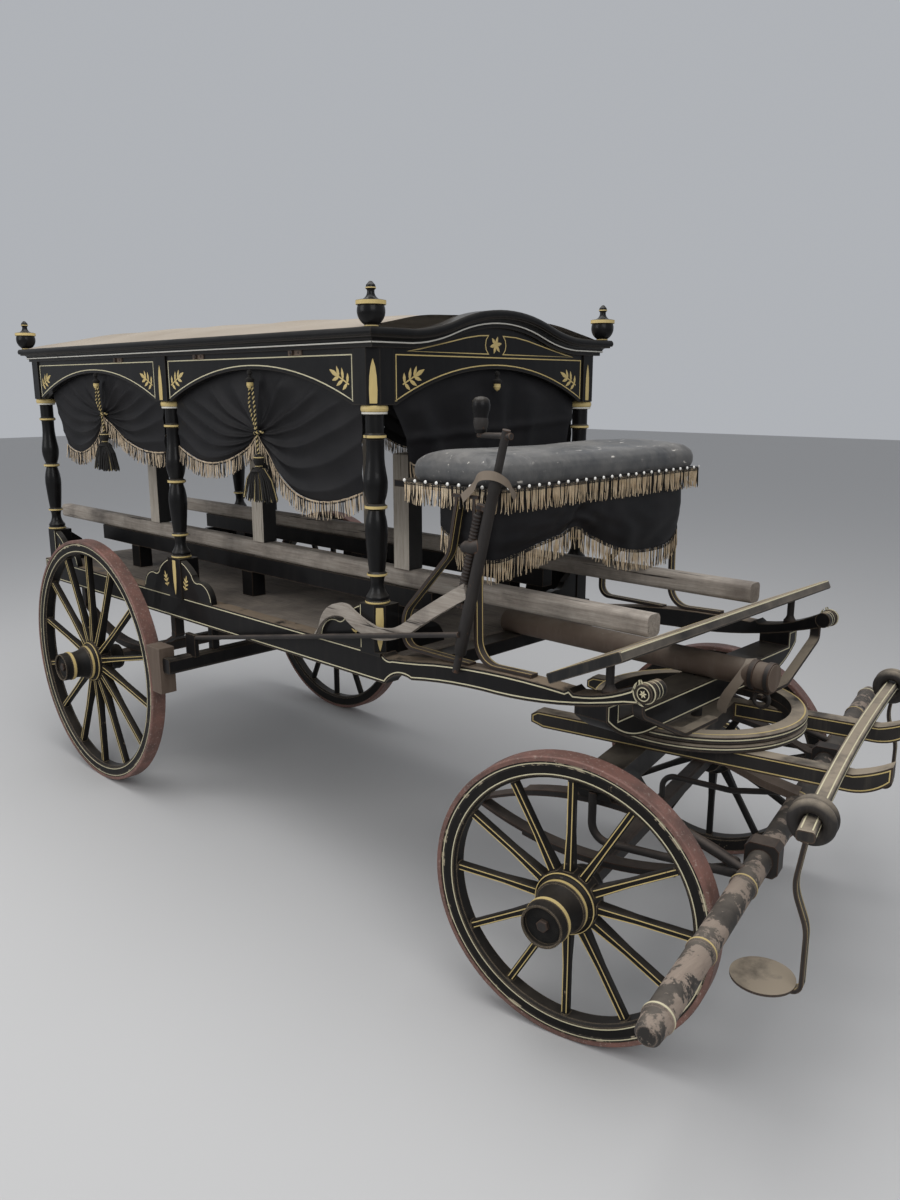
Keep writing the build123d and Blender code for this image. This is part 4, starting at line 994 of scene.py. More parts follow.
# Rows of (along, height, out) on rays from the gather: the first straight up, the last the hem
def swagHalf(gather, half, ends, seed):
    cornerX, hemEnd, hemPull = half
    corner = (cornerX, drapeLook["top"])
    upShare = drapeLook["upShare"]
    way = 1 if cornerX > gather[0] else -1
    archMiddle, archHalf = (ends[0] + ends[1]) / 2, (ends[1] - ends[0]) / 2 - drapeLook["archGap"]
    tieHalf, tieHeight = drapeLook["tie"]
    rayCrowding, stepCrowding = drapeLook["crowding"]
    pinchOut, pinchSpread = drapeLook["pinch"]
    rows = []
    for i in range(drapeLook["rays"] + 1):
        q = i / drapeLook["rays"]
        start = (gather[0] + way * tieHalf * q, gather[1] + tieHeight * (1 - q))
        if q < upShare:
            finish = (gather[0] + (cornerX - gather[0]) * (q / upShare) ** rayCrowding, corner[1])
        else:
            share = (q - upShare) / (1 - upShare)
            finish = tuple(c + (h - c) * share for c, h in zip(corner, hemEnd))
        straight = ((start[0] + finish[0]) / 2, (start[1] + finish[1]) / 2)
        pull = tuple(s + (h - s) * q ** drapeLook["sagGrowth"] for s, h in zip(straight, hemPull))
        row = []
        for j in range(drapeLook["steps"] + 1):
            t = (j / drapeLook["steps"]) ** stepCrowding
            a, b = bow(start, pull, finish, t)
            wander = drapeLook["wander"] * noise.noise(Vector((a * 5, b * 5, seed)))
            phase = math.pi * drapeLook["folds"] * (q + wander)
            ridge = 1 - abs(math.sin(phase)) ** drapeLook["foldEdge"]
            reach = (1 - 0.72 * t) * min(1.0, 0.25 + 3 * t)
            if q < upShare:
                reach = math.sin(math.pi * min(1.0, 0.06 + t)) ** 0.7
            out = ridge * drapeLook["foldDepth"] * reach + drapeLook["belly"] * math.sin(math.pi * t) * q
            crumple = drapeLook["crumple"] * noise.noise(Vector((a * 9, b * 9, seed + 4)))
            out += crumple * math.sin(math.pi * t)
            under = min(1.0, max(0.0, (archHeight(a - archMiddle, archHalf) - b) / drapeLook["archFade"]))
            pinch = math.exp(-((a - gather[0]) ** 2 + (b - gather[1]) ** 2) / pinchSpread)
            row.append((a, b, max(-0.004, out) * (0.12 + 0.88 * under) + pinchOut * pinch))
        rows.append(row)
    return rows


strandLook = {
    "heads": (0.002, 0.007),           # how far the braids hang under the hem
    "headRadius": 0.0016,
    "headWave": 0.0018,
    "fringe": (0.0014, 0.0017, 0.0012),     # radii down a strand
    "sway": 0.0026,
    "skirt": (0.0022, 0.0026, 0.0018),
    "skirtRings": ((1.0, 1.0), (0.66, 1.02), (0.3, 1.03)),     # share of the width, and of the length
    "skirtStrands": 46,
    "skirtTop": (0.026, 0.018, 0.036),     # half width and depth, and how far under the knot
    "skirtMiddle": (0.72, 0.8, 0.075),     # shares of the skirt's half width and depth, and how far under
    "goldShare": 0.2,
    # rows of distance down and radius
    "knot": ((-0.012, 0.004), (-0.004, 0.013), (0.008, 0.019), (0.022, 0.016), (0.030, 0.010),
             (0.034, 0.014), (0.046, 0.030)),
    "knotBands": ((0.029, 0.0125), (0.0, 0.018)),
    "drop": ((-0.004, 0.003), (0.000, 0.008), (0.008, 0.009), (0.012, 0.005), (0.020, 0.007),
             (0.026, 0.015), (0.033, 0.015), (0.037, 0.011)),
    "cup": ((0.0368, 0.0112), (0.047, 0.0115), (0.055, 0.008), (0.060, 0.001)),
}


# Strands along a hem: slot 0 light, slot 1 dark, with a braided head
def addFringe(pile, hem, out, length, gap, dark=0.35, headSlots=(0, 1)):
    head = [p + out * 0.002 for p in hem]
    for drop, slot in zip(strandLook["heads"], headSlots):
        for way in (-1, 1):
            wave = [drop + way * strandLook["headWave"] * math.sin(i * 1.7) for i in range(len(head))]
            path = [p - upward * low for p, low in zip(head, wave)]
            pile.tube(path, strandLook["headRadius"], 4, slot, capped=False)
    travelled = 0.0
    for a, b in zip(hem, hem[1:]):
        run = (b - a).length
        while travelled < run:
            p = a.lerp(b, travelled / run) + out * random.uniform(-0.001, 0.004)
            sway = Vector((random.gauss(0, strandLook["sway"]), random.gauss(0, strandLook["sway"]), 0))
            drop = upward * length * random.uniform(0.88, 1.06)
            path = [p, p - drop * 0.5 + sway * 0.4, p - drop + sway * 1.6]
            pile.tube(path, strandLook["fringe"], 3, 1 if random.random() < dark else 0, capped=False)
            travelled += gap * random.uniform(0.75, 1.25)
        travelled -= run


# A bound knot over a wide skirt of strands; slot 0 black, slot 1 gold
def addTassel(pile, place, length, halfWidth, depth, along, out):
    pile.turned(place, -upward, strandLook["knot"], 18)
    for h, r in strandLook["knotBands"]:
        pile.turned(place, -upward, [(h - 0.002, r - 0.001), (h, r + 0.0015), (h + 0.002, r - 0.001)], 18, 1)
    (topA, topH, topDrop), (midA, midH, midDrop) = strandLook["skirtTop"], strandLook["skirtMiddle"]
    for ring, share in strandLook["skirtRings"]:
        for k in range(strandLook["skirtStrands"]):
            angle = 2 * math.pi * (k + random.random()) / strandLook["skirtStrands"]
            a, h = along * math.cos(angle) * ring, out * math.sin(angle) * ring
            top = place + a * topA + h * topH - upward * topDrop
            mid = place + a * halfWidth * midA + h * depth * midH - upward * midDrop
            low = place + a * halfWidth + h * depth - upward * (length * share * random.uniform(0.93, 1.02))
            slot = 1 if random.random() < strandLook["goldShare"] else 0
            pile.tube([top, mid, low], strandLook["skirt"], 3, slot, capped=False)


# Two strands twisted round each other; slot 0 black, slot 1 gold
def addRope(pile, path, radius, turnsPerMetre=70):
    for strand in (0, 1):
        points = []
        travelled = 0.0
        for a, b in zip(path, path[1:]):
            steps = max(2, int((b - a).length / 0.003))
            ahead = (b - a).normalized()
            across = ahead.cross(Vector((0.3, 1, 0.1))).normalized()
            other = ahead.cross(across)
            for k in range(steps):
                done = travelled + (b - a).length * k / steps
                angle = 2 * math.pi * turnsPerMetre * done + math.pi * strand
                twist = across * math.cos(angle) + other * math.sin(angle)
                points.append(a.lerp(b, k / steps) + twist * radius * 0.5)
            travelled += (b - a).length
        pile.tube(points, radius * 0.62, 5, strand)


# A turned drop: ball, neck and collar, with a painted cup below
def addAcorn(pile, place, dark, light):
    pile.turned(place, -upward, strandLook["drop"], 20, dark)
    pile.turned(place, -upward, strandLook["cup"], 20, light)


for side in sides:
    word = "right" if side < 0 else "left"
    wall = sideWall(side, drapeLook["plane"])
    cloth = Pile("drapes_" + word, "carriage", "drape")
    fringe = Pile("drape_fringe_" + word, "carriage", "beigeStrand", "blackStrand")
    tassels = Pile("drape_tassels_" + word, "carriage", "blackStrand", "goldStrand", "gold")
    for number, (gather, halves) in enumerate(bays):
        for half in halves:
            rows = swagHalf(gather, half, bayEnds[number], number * 3 + side)
            cloth.grid([[wall.at(*point) for point in row] for row in rows])
            hem = [wall.at(a, b, h + 0.002) for a, b, h in rows[-1]]
            addFringe(fringe, hem, wall.out, drapeLook["fringe"], drapeLook["strandGap"])
        acorn = sideWall(side, faces["frieze"]).at(gather[0] - 0.004, drapeLook["acornHeight"], 0.012)
        knot = wall.at(gather[0] + 0.012, gather[1] - 0.072, 0.030)
        tie = wall.at(gather[0] + 0.010, gather[1] + 0.012, 0.034)
        addAcorn(tassels, acorn, 0, 2)
        downRight, downLeft, tied = (
            [start + Vector((x, side * y, z)) for x, y, z in points] for start, points in zip(
                (acorn, acorn, tie), drapeLook["ropes"]))
        addRope(tassels, [*downRight, tie, knot], drapeLook["ropeRadius"])
        addRope(tassels, [*downLeft, tie], drapeLook["ropeRadius"])
        addRope(tassels, tied, drapeLook["tieRadius"])
        addTassel(tassels, knot, *drapeLook["tassel"], wall.along, wall.out)
    clothObject = cloth.make(smooth=True, slotName="drape_cloth")
    fringeObject = fringe.make(slotName="drape_cloth")
    tasselObject = tassels.make(slotName="drape_cloth")
    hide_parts("drape_" + word)

endLook = {
    # name, place, way out and the acorn's place across
    "drapes": (("front", 0.0105, 1, -0.017), ("rear", -2.2875, -1, 0.0)),
    "edge": ((1.744, 0.462), (1.61, 0.445), (1.53, 0.405), (1.44, 0.385)),   # height, half width
    "archHalf": 0.455,
    "archFade": 0.06,
    "crease": (1.53, 0.006, 0.012, 0.02),     # height, depth, breadth and slope
    "folds": 15,
    "wander": 2.4,
    "out": (0.010, 0.008, 0.004),     # of the cloth, its folds and its crumples
    "hemLift": 0.012,
    "rows": 36,
    "columns": 120,
}
top, hem = endLook["edge"][0][0], endLook["edge"][-1][0]
crease, creaseDepth, creaseBreadth, creaseSlope = endLook["crease"]
clothOut, foldOut, crumpleOut = endLook["out"]
for name, x, out, acornY in endLook["drapes"]:
    wall = endWall(x, out)
    cloth = Pile("drape_sheet_" + name, "carriage", "drape")
    fringe = Pile("drape_fringe_" + name, "carriage", "beigeStrand", "blackStrand", "gold")
    rows = []
    for i in range(endLook["rows"] + 1):
        share = i / endLook["rows"]
        height = top + (hem - top) * share
        halfWidth = between(endLook["edge"], height)
        row = []
        for j in range(endLook["columns"] + 1):
            t = 2 * j / endLook["columns"] - 1
            y = halfWidth * t
            under = min(1.0, max(0.0, (archHeight(y, endLook["archHalf"]) - height) / endLook["archFade"]))
            wander = endLook["wander"] * noise.noise(Vector((y * 3, height * 2, 5)))
            fold = math.sin(endLook["folds"] * t + wander)
            step = creaseDepth * math.exp(-((height - crease - creaseSlope * t) / creaseBreadth) ** 2)
            crumple = crumpleOut * noise.noise(Vector((y * 10, height * 10, 2)))
            h = under * (clothOut + foldOut * fold + step + crumple)
            row.append(wall.at(y, height - endLook["hemLift"] * abs(fold) * share ** 4, h))
        rows.append(row)
    cloth.grid(rows)
    addFringe(fringe, rows[-1], wall.out, drapeLook["fringe"], drapeLook["strandGap"])
    addAcorn(fringe, endWall(x + out * 0.030, out).at(acornY, 1.711, 0.010), 1, 2)
    clothObject = cloth.make(smooth=True, slotName="drape_cloth")
    fringeObject = fringe.make(slotName="drape_cloth")
    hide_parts("drape_" + name)
print("drapes ready")

valanceLook = {
    # x, y and hem height of points round the seat, from the right side to the left
    "route": ((0.270, -0.484, 1.274), (0.330, -0.487, 1.242), (0.385, -0.487, 1.202), (0.440, -0.484, 1.196),
              (0.476, -0.455, 1.200), (0.487, -0.400, 1.212), (0.490, -0.300, 1.232), (0.490, -0.200, 1.246),
              (0.486, -0.125, 1.258), (0.488, -0.080, 1.238), (0.490, 0.040, 1.184), (0.490, 0.170, 1.152),
              (0.490, 0.300, 1.144), (0.487, 0.400, 1.154), (0.476, 0.460, 1.196), (0.440, 0.486, 1.262),
              (0.370, 0.487, 1.292)),
    "top": 1.376,
    "tuck": (-0.125, 0.10),     # where the cloth is caught up: y, and how wide
    "tuckDepth": (0.006, 0.010),     # of its folds, and of its pull inwards
    "swell": (0.004, 0.014, 0.010),     # at the board, halfway down, and of the ripples
    "inwards": 0.018,
    "fringe": (0.068, 0.0044, 0.2),     # length, gap and share of dark strands
    "steps": 8,
    "rows": 24,
}


# Points on smooth curves through the given ones
def smoothRoute(points, steps):
    result = []
    for i in range(len(points) - 1):
        p0, p1, p2, p3 = (Vector(points[max(0, min(len(points) - 1, i + k))]) for k in (-1, 0, 1, 2))
        for k in range(steps):
            t = k / steps
            result.append(0.5 * (2 * p1 + (p2 - p0) * t + (2 * p0 - 5 * p1 + 4 * p2 - p3) * t * t
                                 + (3 * p1 - p0 - 3 * p2 + p3) * t ** 3))
    return result + [Vector(points[-1])]


cloth = Pile("valance", "carriage", "drape")
fringe = Pile("valance_fringe", "carriage", "tanStrand", "blackStrand")
route = smoothRoute(valanceLook["route"], valanceLook["steps"])
seatMiddle = Vector((0.15, 0, 0))
tuckY, tuckWidth = valanceLook["tuck"]
tuckFold, tuckPull = valanceLook["tuckDepth"]
least, bulge, ripples = valanceLook["swell"]
rows = []
for i in range(valanceLook["rows"] + 1):
    share = i / valanceLook["rows"]
    row = []
    for x, y, hem in route:
        away = (Vector((x, y, 0)) - seatMiddle).normalized()
        height = valanceLook["top"] + (hem - valanceLook["top"]) * share
        tuck = math.exp(-((y - tuckY) / tuckWidth) ** 2) if x > 0.47 else 0.0
        swell = least + bulge * math.sin(math.pi * share) + ripple((x * 2, y * 2, share), 6, ripples) * share
        swell += tuck * (tuckFold * math.sin(share * 9 + y * 60) - tuckPull * share)
        row.append(at(x + away.x * swell - valanceLook["inwards"], y + away.y * swell * 0.4, height))
    rows.append(row)
cloth.grid(rows)
addFringe(fringe, rows[-1], Vector((1, 0, 0)), *valanceLook["fringe"], (1, 1))
valance = cloth.make(smooth=True, slotName="drape_cloth")
valanceFringe = fringe.make(slotName="drape_cloth")
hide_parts("seat_valance")

cushionLook = {
    "middle": (0.3225, 0.0), "half": (0.1775, 0.511),
    # how far in from the rim, and the height
    "profile": ((0.030, 1.3935), (0.012, 1.396), (0.004, 1.404), (0.0, 1.418), (0.0, 1.438), (0.006, 1.456),
                (0.022, 1.470), (0.055, 1.479), (0.105, 1.4845), (0.150, 1.486), (0.172, 1.487)),
    "corner": 0.034,
    "dent": 0.010,
    "dish": 0.010,                     # how much lower it is in the middle than at its ends
    "base": 1.3985,                    # the puffed pad stays over this height where it was under the next
    "baseReach": 1.400,
    "puff": (0.006, 4, 16, 0.006),     # voxel, pressure, frames and the furthest a point moves
    "rimCorner": 0.022,
    # of the fringe, band and nails: how far out from the pad, and the height
    "fringe": (0.007, 1.3975), "band": (0.006, 1.400), "nails": (0.0072, 1.4005),
    "strands": (0.064, 0.0040, 0.25),     # length, gap and share of dark strands
    "bandDrop": 0.012,
    "nailGap": 0.0435,
    "nail": ((0, 0.0054), (0.0020, 0.0048), (0.0036, 0.0026), (0.0040, 0.0004)),
}


# Points round the cushion, rounder the further they are in from its edge
def cushionRim(inward):
    mx, my = cushionLook["middle"]
    hx, hy = (h - inward for h in cushionLook["half"])
    corner = min(hx * 0.95, cushionLook["corner"] + 0.25 * inward)
    corners = []
    for turn, (cx, cy) in enumerate(((1, 1), (-1, 1), (-1, -1), (1, -1))):
        for k in range(8):
            angle = math.pi / 2 * (turn + k / 7)
            corners.append(Vector((mx + cx * (hx - corner) + corner * math.cos(angle),
                                   my + cy * (hy - corner) + corner * math.sin(angle))))
    points = []
    for number, point in enumerate(corners):
        points.append(point)
        if number % 8 == 7:
            steps = 16 if number in (7, 23) else 48
            points += [point.lerp(corners[(number + 1) % 32], k / steps) for k in range(1, steps)]
    return points


pad = Pile("cushion", "carriage", "leather")
rows = []
for inward, height in cushionLook["profile"]:
    row = []
    for x, y in cushionRim(inward):
        dent = ripple((x * 1.2, y, height * 2), 5, cushionLook["dent"]) * min(1, inward / 0.08)
        dish = cushionLook["dish"] * min(1, inward / 0.15) * math.cos(y * 3.2)
        row.append(at(x, y, height + dent - dish))
    rows.append(row)
pad.grid(rows, closed=True)
around = len(rows[0])
pad.faces += [tuple(range(around - 1, -1, -1)), tuple(range((len(rows) - 1) * around, len(rows) * around))]
pad.slots += [0, 0]
cushion = pad.make(smooth=True, slotName="seat_leather")
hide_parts("seat_cushion")


# Swells a pad as cloth with air in it, and caps how far each point moves
def puff(obj, voxel, pressure, frames, cap):
    remesh = obj.modifiers.new("remesh", "REMESH")
    remesh.mode = "VOXEL"
    remesh.voxel_size = voxel
    deps = bpy.context.evaluated_depsgraph_get()
    mesh = bpy.data.meshes.new_from_object(obj.evaluated_get(deps))
    obj.modifiers.clear()
    obj.data = mesh
    before = [v.co.copy() for v in mesh.vertices]
    cloth = obj.modifiers.new("cloth", "CLOTH")
    cloth.settings.use_pressure = True
    cloth.settings.uniform_pressure_force = pressure
    cloth.settings.effector_weights.gravity = 0
    cloth.point_cache.frame_end = frames
    for number in range(1, frames + 1):
        scene.frame_set(number)
    deps = bpy.context.evaluated_depsgraph_get()
    moved = [v.co.copy() for v in obj.evaluated_get(deps).data.vertices]
    obj.modifiers.clear()
    scene.frame_set(1)
    for vertex, old, new in zip(mesh.vertices, before, moved):
        step = new - old
        vertex.co = old + step * min(1.0, cap / max(step.length, 1e-9))
        if old.z < cushionLook["baseReach"] + floorZ:
            vertex.co.z = max(vertex.co.z, cushionLook["base"] + floorZ)


puff(cushion, *cushionLook["puff"])
for poly in cushion.data.polygons:
    poly.use_smooth = True
if not cushion.data.materials:
    cushion.data.materials.append(materials["leather"])


# The seat's edge from the right rear corner round the front to the left one
def seatRim(outward, z):
    hx, hy = (h + outward for h in cushionLook["half"])
    mx = cushionLook["middle"][0]
    corner = cushionLook["rimCorner"]
    points = [(mx - hx, -hy)] + [(mx - hx + (2 * hx - corner) * k / 12, -hy) for k in range(1, 13)]
    for k in range(1, 6):
        turn = math.pi / 2 * k / 5
        points.append((mx + hx - corner + corner * math.sin(turn), -hy + corner - corner * math.cos(turn)))
    points += [(mx + hx, -hy + corner + (hy - corner) * k / 20) for k in range(1, 20)]
    points += [(mx + hx, 0), *((x, -y) for x, y in reversed(points))]
    return [at(x, y, z) for x, y in points]


fringe = Pile("cushion_fringe", "carriage", "tanStrand", "blackStrand")
addFringe(fringe, seatRim(*cushionLook["fringe"]), Vector((0, 0, 0)), *cushionLook["strands"], (1, 1))
band = seatRim(*cushionLook["band"])
drop = upward * cushionLook["bandDrop"]
for a, b in zip(band, band[1:]):
    fringe.add([a, b, b - drop, a - drop], [(0, 1, 2, 3)], 1)
fringe.make(slotName="seat_leather")
nails = Pile("cushion_nails", "carriage", "nail")
travelled = 0.0
nailRoute = seatRim(*cushionLook["nails"])
for a, b in zip(nailRoute, nailRoute[1:]):
    run = (b - a).length
    outward = (b - a).cross(upward).normalized()
    while travelled < run:
        nails.turned(a.lerp(b, travelled / run), outward, cushionLook["nail"], 10)
        travelled += cushionLook["nailGap"]
    travelled -= run
nails.make(smooth=True, slotName="seat_leather")
print("seat ready")

roofLook = {
    "crest": ((0.022, 1.890), (-0.23, 1.896), (-1.0, 1.912), (-1.76, 1.916), (-2.279, 1.908)),   # x, height
    "front": 0.0215,
    "length": 2.3,
    "half": 0.571,
    "edge": 1.8315,
    "sag": (0.004, 0.007),     # between the roof's ribs, and uneven
    "rows": 92,
    "columns": 64,
}
canvas = Pile("roof_cloth", "carriage", "canvas")
ribSag, unevenSag = roofLook["sag"]
rows = []
for i in range(roofLook["rows"] + 1):
    x = roofLook["front"] - roofLook["length"] * i / roofLook["rows"]
    rise = between(roofLook["crest"], x) - roofLook["edge"]
    row = []
    for j in range(roofLook["columns"] + 1):
        t = 2 * j / roofLook["columns"] - 1
        sag = ribSag * math.sin(x * 15) * (1 - t * t) + ripple((x, t * 0.5, 3), 5, unevenSag) * (1 - t ** 4)
        row.append(at(x, roofLook["half"] * t, roofLook["edge"] + rise * (1 - t * t) + sag))
    rows.append(row)
canvas.grid(rows)
roof = canvas.make(smooth=True, slotName="canvas")
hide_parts("roof_canvas")
print("roof ready")

# Brake: threads on the spindle, its nut, a wooden grip, a sleeve and two leather straps
brakeLook = {
    "side": -0.546,
    "thread": ((0.392, 1.088), (0.457, 1.338)),     # lower and upper end, x and height
    "threadRadii": (0.0098, 0.0145),
    "pitch": 0.0102,
    "nut": ((0.398, 1.236), (0.468, 1.246)),
    "nutRows": ((0, 0.001), (0.0005, 0.013), (0.012, 0.0185), (0.020, 0.0165), (0.026, 0.0205),
                (0.066, 0.0205), (0.070, 0.016), (0.0705, 0.001)),
    "grip": (0.461, 1.546),
    "gripRows": ((0.0, 0.011), (0.002, 0.0155), (0.030, 0.0172), (0.048, 0.0195), (0.060, 0.0235),
                 (0.072, 0.0245), (0.084, 0.0225), (0.091, 0.016), (0.094, 0.006), (0.0945, 0.001)),
    "sleeve": ((0.3865, 0.932), (0.5196, 1.441)),
    # distance from the lower end, then from the upper end, each with the radius
    "sleeveFoot": ((0, 0.0112), (0.002, 0.0185), (0.10, 0.0180)),
    "sleeveHead": ((0.12, 0.0155), (0.05, 0.0155), (0.048, 0.0175), (0.010, 0.0175), (0.002, 0.0165),
                   (0, 0.0112)),
    # x, y and height of the strap's middle line, over the lever and back to the seat
    "strap": ((0.372, -0.5235, 1.366), (0.425, -0.535, 1.402), (0.470, -0.5655, 1.432),
              (0.508, -0.5725, 1.441), (0.540, -0.5655, 1.437), (0.553, -0.540, 1.418),
              (0.536, -0.505, 1.394), (0.5135, -0.462, 1.374)),
    "strapWidth": 0.024,
    # x, y, height of the strap that hangs over the centre beam's end
    "looseStrap": ((0.955, 0.030, 0.905), (0.985, 0.004, 0.925), (0.993, -0.020, 0.915),
                   (0.975, -0.042, 0.870), (0.952, -0.050, 0.828), (0.935, -0.046, 0.792),
                   (0.928, -0.038, 0.765)),
    "looseWidth": 0.030,
}


def brakePlace(key):
    return [at(x, brakeLook["side"], z) for x, z in brakeLook[key]]


brake = Pile("brake_screw", "carriage", "iron", "brown", "body")
low, high = brakePlace("thread")
inside, outside = brakeLook["threadRadii"]
profile = []
for k in range(int((high - low).length / brakeLook["pitch"])):
    start = k * brakeLook["pitch"]
    profile += [(start, inside), (start + 0.002, outside), (start + 0.006, outside), (start + 0.008, inside)]
brake.turned(low, high - low, profile, 18)
left, right = brakePlace("nut")
brake.turned(left, right - left, brakeLook["nutRows"], 20)
gripX, gripZ = brakeLook["grip"]
brake.turned(at(gripX, brakeLook["side"], gripZ), upward, brakeLook["gripRows"], 24, 2)
low, high = brakePlace("sleeve")
span = (high - low).length
profile = [*brakeLook["sleeveFoot"], *((span - h, r) for h, r in brakeLook["sleeveHead"])]
brake.turned(low, high - low, profile, 18)
brake.make(smooth=True, slotName="black_iron")


# A leather strip along a smooth line; acrossAt gives its width's direction there
def strapStrip(name, points, width, acrossAt):
    pile = Pile(name, "carriage", "strap")
    line = smoothRoute(points, 6)
    rows = []
    for i, point in enumerate(line):
        share = i / (len(line) - 1)
        across = Vector(acrossAt(share)).normalized() * width / 2
        taper = 1.0 if share < 0.93 else 1 - ((share - 0.93) / 0.07) ** 2 * 0.6
        rows.append([at(*(point + across * t * taper)) for t in (-1, -0.5, 0, 0.5, 1)])
    pile.grid(rows)
    return pile.make(smooth=True, slotName="seat_leather")


strap = strapStrip("brake_strap", brakeLook["strap"], brakeLook["strapWidth"],
                   lambda t: (-0.5 + t, 0.25 * math.sin(6 * t), 1))
loose = strapStrip("loose_strap", brakeLook["looseStrap"], brakeLook["looseWidth"],
                   lambda t: (0.75, 0.55 - 0.3 * t, 0.15 - 0.5 * t))
print("brake ready")


# The irons' middle lines, x and height, with their bends as arcs
def bentRoute(points, radii):
    route = [points[0]]
    for a, corner, b, radius in zip(points, points[1:], points[2:], radii):
        corner = Vector(corner)
        into = (corner - Vector(a)).normalized()
        onward = (Vector(b) - corner).normalized()
        turn = into.angle(onward)
        reach = radius * math.tan(turn / 2)
        via = corner + (onward - into).normalized() * (radius / math.cos(turn / 2) - radius)
        route += arcPoints(corner - into * reach, via, corner + onward * reach)
    return [Vector(p) for p in route + [points[-1]]]


# A line near each edge of both broad faces
def bentLines(pile, place, route, side, halfWidth, thick):
    across = (place(0, 1, 0) - place(0, 0, 0)) * 0.0014
    for face in (-1, 1):
        out = face * (thick / 2 + 0.0005)
        for edge in (-1, 1):
            y = side + edge * (halfWidth - 0.004)
            rows = []
            for i, point in enumerate(route):
                ahead = (route[min(i + 1, len(route) - 1)] - route[max(i - 1, 0)]).normalized()
                p = place(point.x - ahead.y * out, y, point.y + ahead.x * out)
                rows.append([p - across, p + across])
            pile.grid(rows)


ironLook = {
    # x and height of the irons' middle lines, with the radii of their bends
    "rear": (((0.350, 1.358), (0.318, 1.205), (0.128, 1.005), (0.128, 0.898), (0.400, 0.896)),
             (0.090, 0.080, 0.040)),
    "front": (((0.415, 1.358), (0.424, 0.904), (0.625, 0.911)), (0.070,)),
    "step": (((0.452, 0.7215), (0.436, 0.610), (0.4695, 0.520), (0.4695, 0.3625), (0.400, 0.3625)),
             (0.120, 0.120, 0.022)),
    # from the middle, half width and thickness
    "seatSize": (0.507, 0.015, 0.010),
    "stepSize": (0.646, 0.014, 0.009),
    "futchell": (0.200, 0.023),     # from the middle, and half its width
    "futchellLine": (0.006, 0.0034),     # in from the edge, and width
}
ironLines = Pile("iron_lines", "carriage", "gold")
stepLines = Pile("step_lines", "fore_carriage", "gold")
seatReach, *seatSize = ironLook["seatSize"]
stepReach, *stepSize = ironLook["stepSize"]
futchellReach, futchellHalf = ironLook["futchell"]
for side in sides:
    for name in ("rear", "front"):
        bentLines(ironLines, at, bentRoute(*ironLook[name]), side * seatReach, *seatSize)
    bentLines(stepLines, atFore, bentRoute(*ironLook["step"]), side * stepReach, *stepSize)
    for way in (1, -1):
        away = atFore(0, way, 0) - atFore(0, 0, 0)
        offset = (atFore(0, side * futchellReach, 0) + away * futchellHalf).dot(away)
        edgeLines(stepLines, "futchells", away, offset, *ironLook["futchellLine"])
ironLines.make(slotName="black_iron")
stepLines.make(slotName="black_iron")
print("iron lines ready")

# Lines and bands on the footboard, bolster, sill ends, splinter bar and ring
lineLook = {
    "boardTilt": 25,                   # degrees
    "boardEdge": (0.945, 1.058),       # x and height
    "boardHalf": 0.586,
    "boardLine": (0.008, 0.0035),      # in from the edge, and width
    "boardMiddle": 0.0035,             # of the front edge, down from its top, and the line's width
    "bolsterFace": 0.050,              # from the kingpin
    "bolsterLine": (0.007, 0.004),
    "sillEnd": (0.985, 0.543, 0.950),
    "sillBands": ((-0.0125, 0.0272), (-0.036, 0.0242), (-0.050, 0.0242)),    # from the end, and radius
    "bandLength": 0.0024,
    "sillStar": 0.0105,                # radius
    "sillRing": ((0.0, 0.0175), (0.0008, 0.0170), (0.0008, 0.0158), (0.0, 0.0153)),
    "bar": (0.305, 0.520, 0.0336),     # x, height, and radius of its bands
    "barBands": (-1.110, -0.860, -0.550, 0.0, 0.550, 0.860, 1.110),
    "bow": (0.436, 0.016),             # x, and how much its ends stand further out
    "bowLines": ((0.0202, 0.7345), (0.0120, 0.7476), (-0.0120, 0.7476)),     # x from it, and height
    "ringBands": (0.7335, 0.7585),
    "ringRadius": 0.3052,
    "ringFace": 0.772,
    "ringTop": ((0.0002, 0.2955), (0.0007, 0.2960), (0.0007, 0.2990), (0.0002, 0.2995)),
}
tilt = math.radians(lineLook["boardTilt"])
boardUp = Vector((-math.sin(tilt), 0, math.cos(tilt)))
boardFront = Vector((math.cos(tilt), 0, math.sin(tilt)))
boardEdge = at(lineLook["boardEdge"][0], 0, lineLook["boardEdge"][1])
lines = Pile("board_lines", "carriage", "cream", "gold")
boardMiddle = boardEdge - boardUp * lineLook["boardMiddle"]
lines.ribbon([boardMiddle + Vector((0, side * lineLook["boardHalf"], 0)) for side in sides], boardFront,
             lineLook["boardMiddle"], lineLift)
edgeLines(lines, "footboard", boardUp, boardEdge.dot(boardUp), *lineLook["boardLine"], 1)
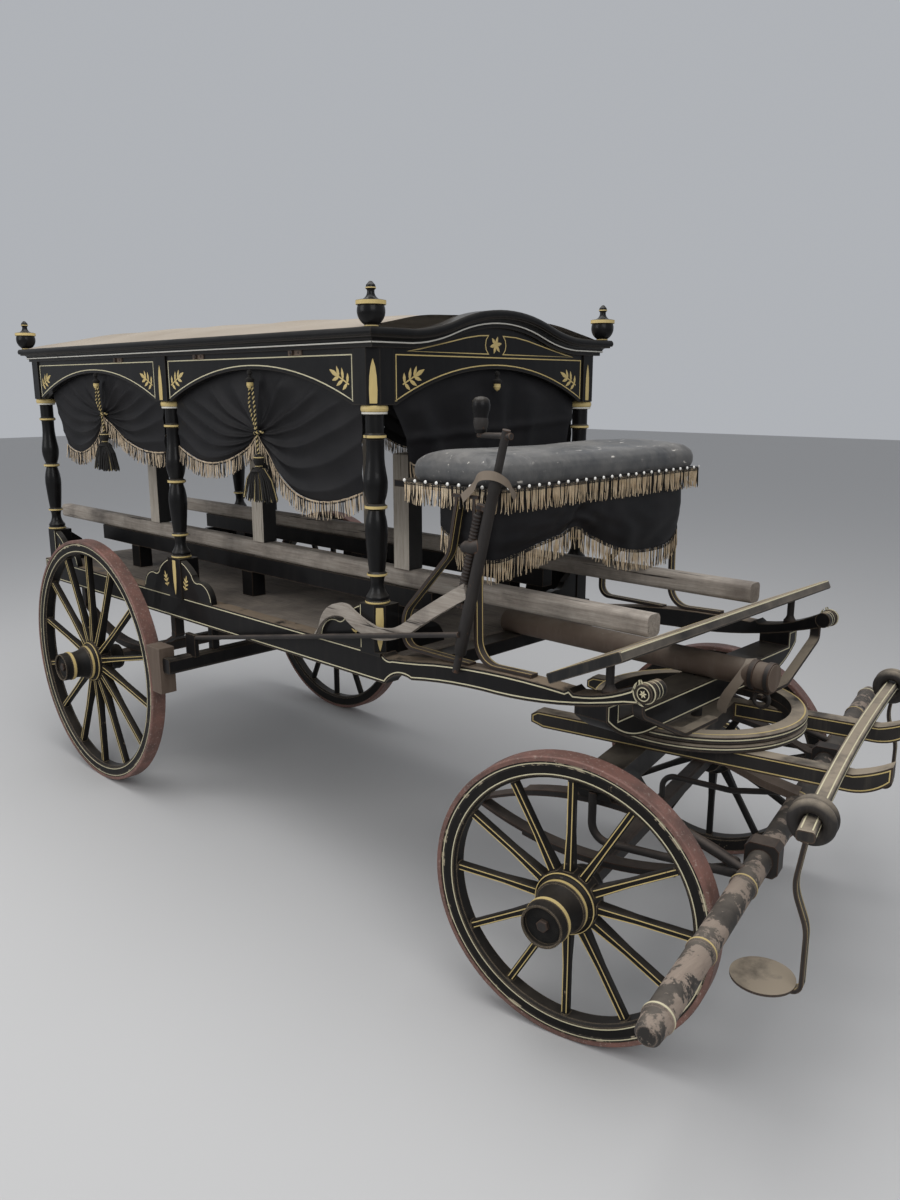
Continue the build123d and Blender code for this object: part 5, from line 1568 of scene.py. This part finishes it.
edgeLines(lines, "body_bolster", (1, 0, 0), kingpin.x + lineLook["bolsterFace"], *lineLook["bolsterLine"])
for side in sides:
    x, y, z = lineLook["sillEnd"]
    end = at(x, side * y, z)
    outward = Vector((0, side, 0))
    for start, radius in lineLook["sillBands"]:
        length = lineLook["bandLength"]
        rows = bandRows(radius + 0.0004, length, 0.0004, length)
        lines.turned(end + outward * (start - length / 2), outward, rows, 28)
    lines.turned(end, outward, lineLook["sillRing"], 28)
    star(lines, Wall(end, (1, 0, 0), upward, outward), 0, 0, lineLook["sillStar"])
lines.make(slotName="black_wood")

bands = Pile("bar_bands", "fore_carriage", "gold", "cream")
barAxis = (atFore(0, 1, 0) - atFore(0, 0, 0)).normalized()
forward = (atFore(1, 0, 0) - atFore(0, 0, 0)).normalized()
barX, barZ, barRadius = lineLook["bar"]
for y in lineLook["barBands"]:
    bands.turned(atFore(barX, y - 0.003, barZ), barAxis, bandRows(barRadius, 0.006, drop=0.0026), 32,
                 1 if abs(y) > 1 else 0)
bowX, bowOut = lineLook["bow"]
for (shift, height), normal in zip(lineLook["bowLines"], (forward, upward, upward)):
    bowLine = [atFore(bowX + bowOut * (y / 66) ** 2 + shift, y / 100, height) for y in range(-65, 66, 5)]
    bands.ribbon(bowLine, normal, 0.0035, 0.0006, 1)
for z in lineLook["ringBands"]:
    bands.turned(atFore(0, 0, z - 0.002), upward,
                 bandRows(lineLook["ringRadius"] + 0.0004, 0.004, drop=0.0014), 96, 1)
bands.turned(atFore(0, 0, lineLook["ringFace"]), upward, lineLook["ringTop"], 96)
bands.make(slotName="black_wood")
print("lines ready")

floorMesh = bpy.data.meshes.new("floor")
corners = [(x * view["floorHalf"], y * view["floorHalf"], floorZ) for x, y in square]
floorMesh.from_pydata(corners, [], [(0, 1, 2, 3)])
floor = bpy.data.objects.new("floor", floorMesh)
scene.collection.objects.link(floor)
nodes, shader = newMaterial("floor")
shader["Base Color"].default_value = view["floor"]
shader["Roughness"].default_value = 0.9
floorMesh.materials.append(materials["floor"])
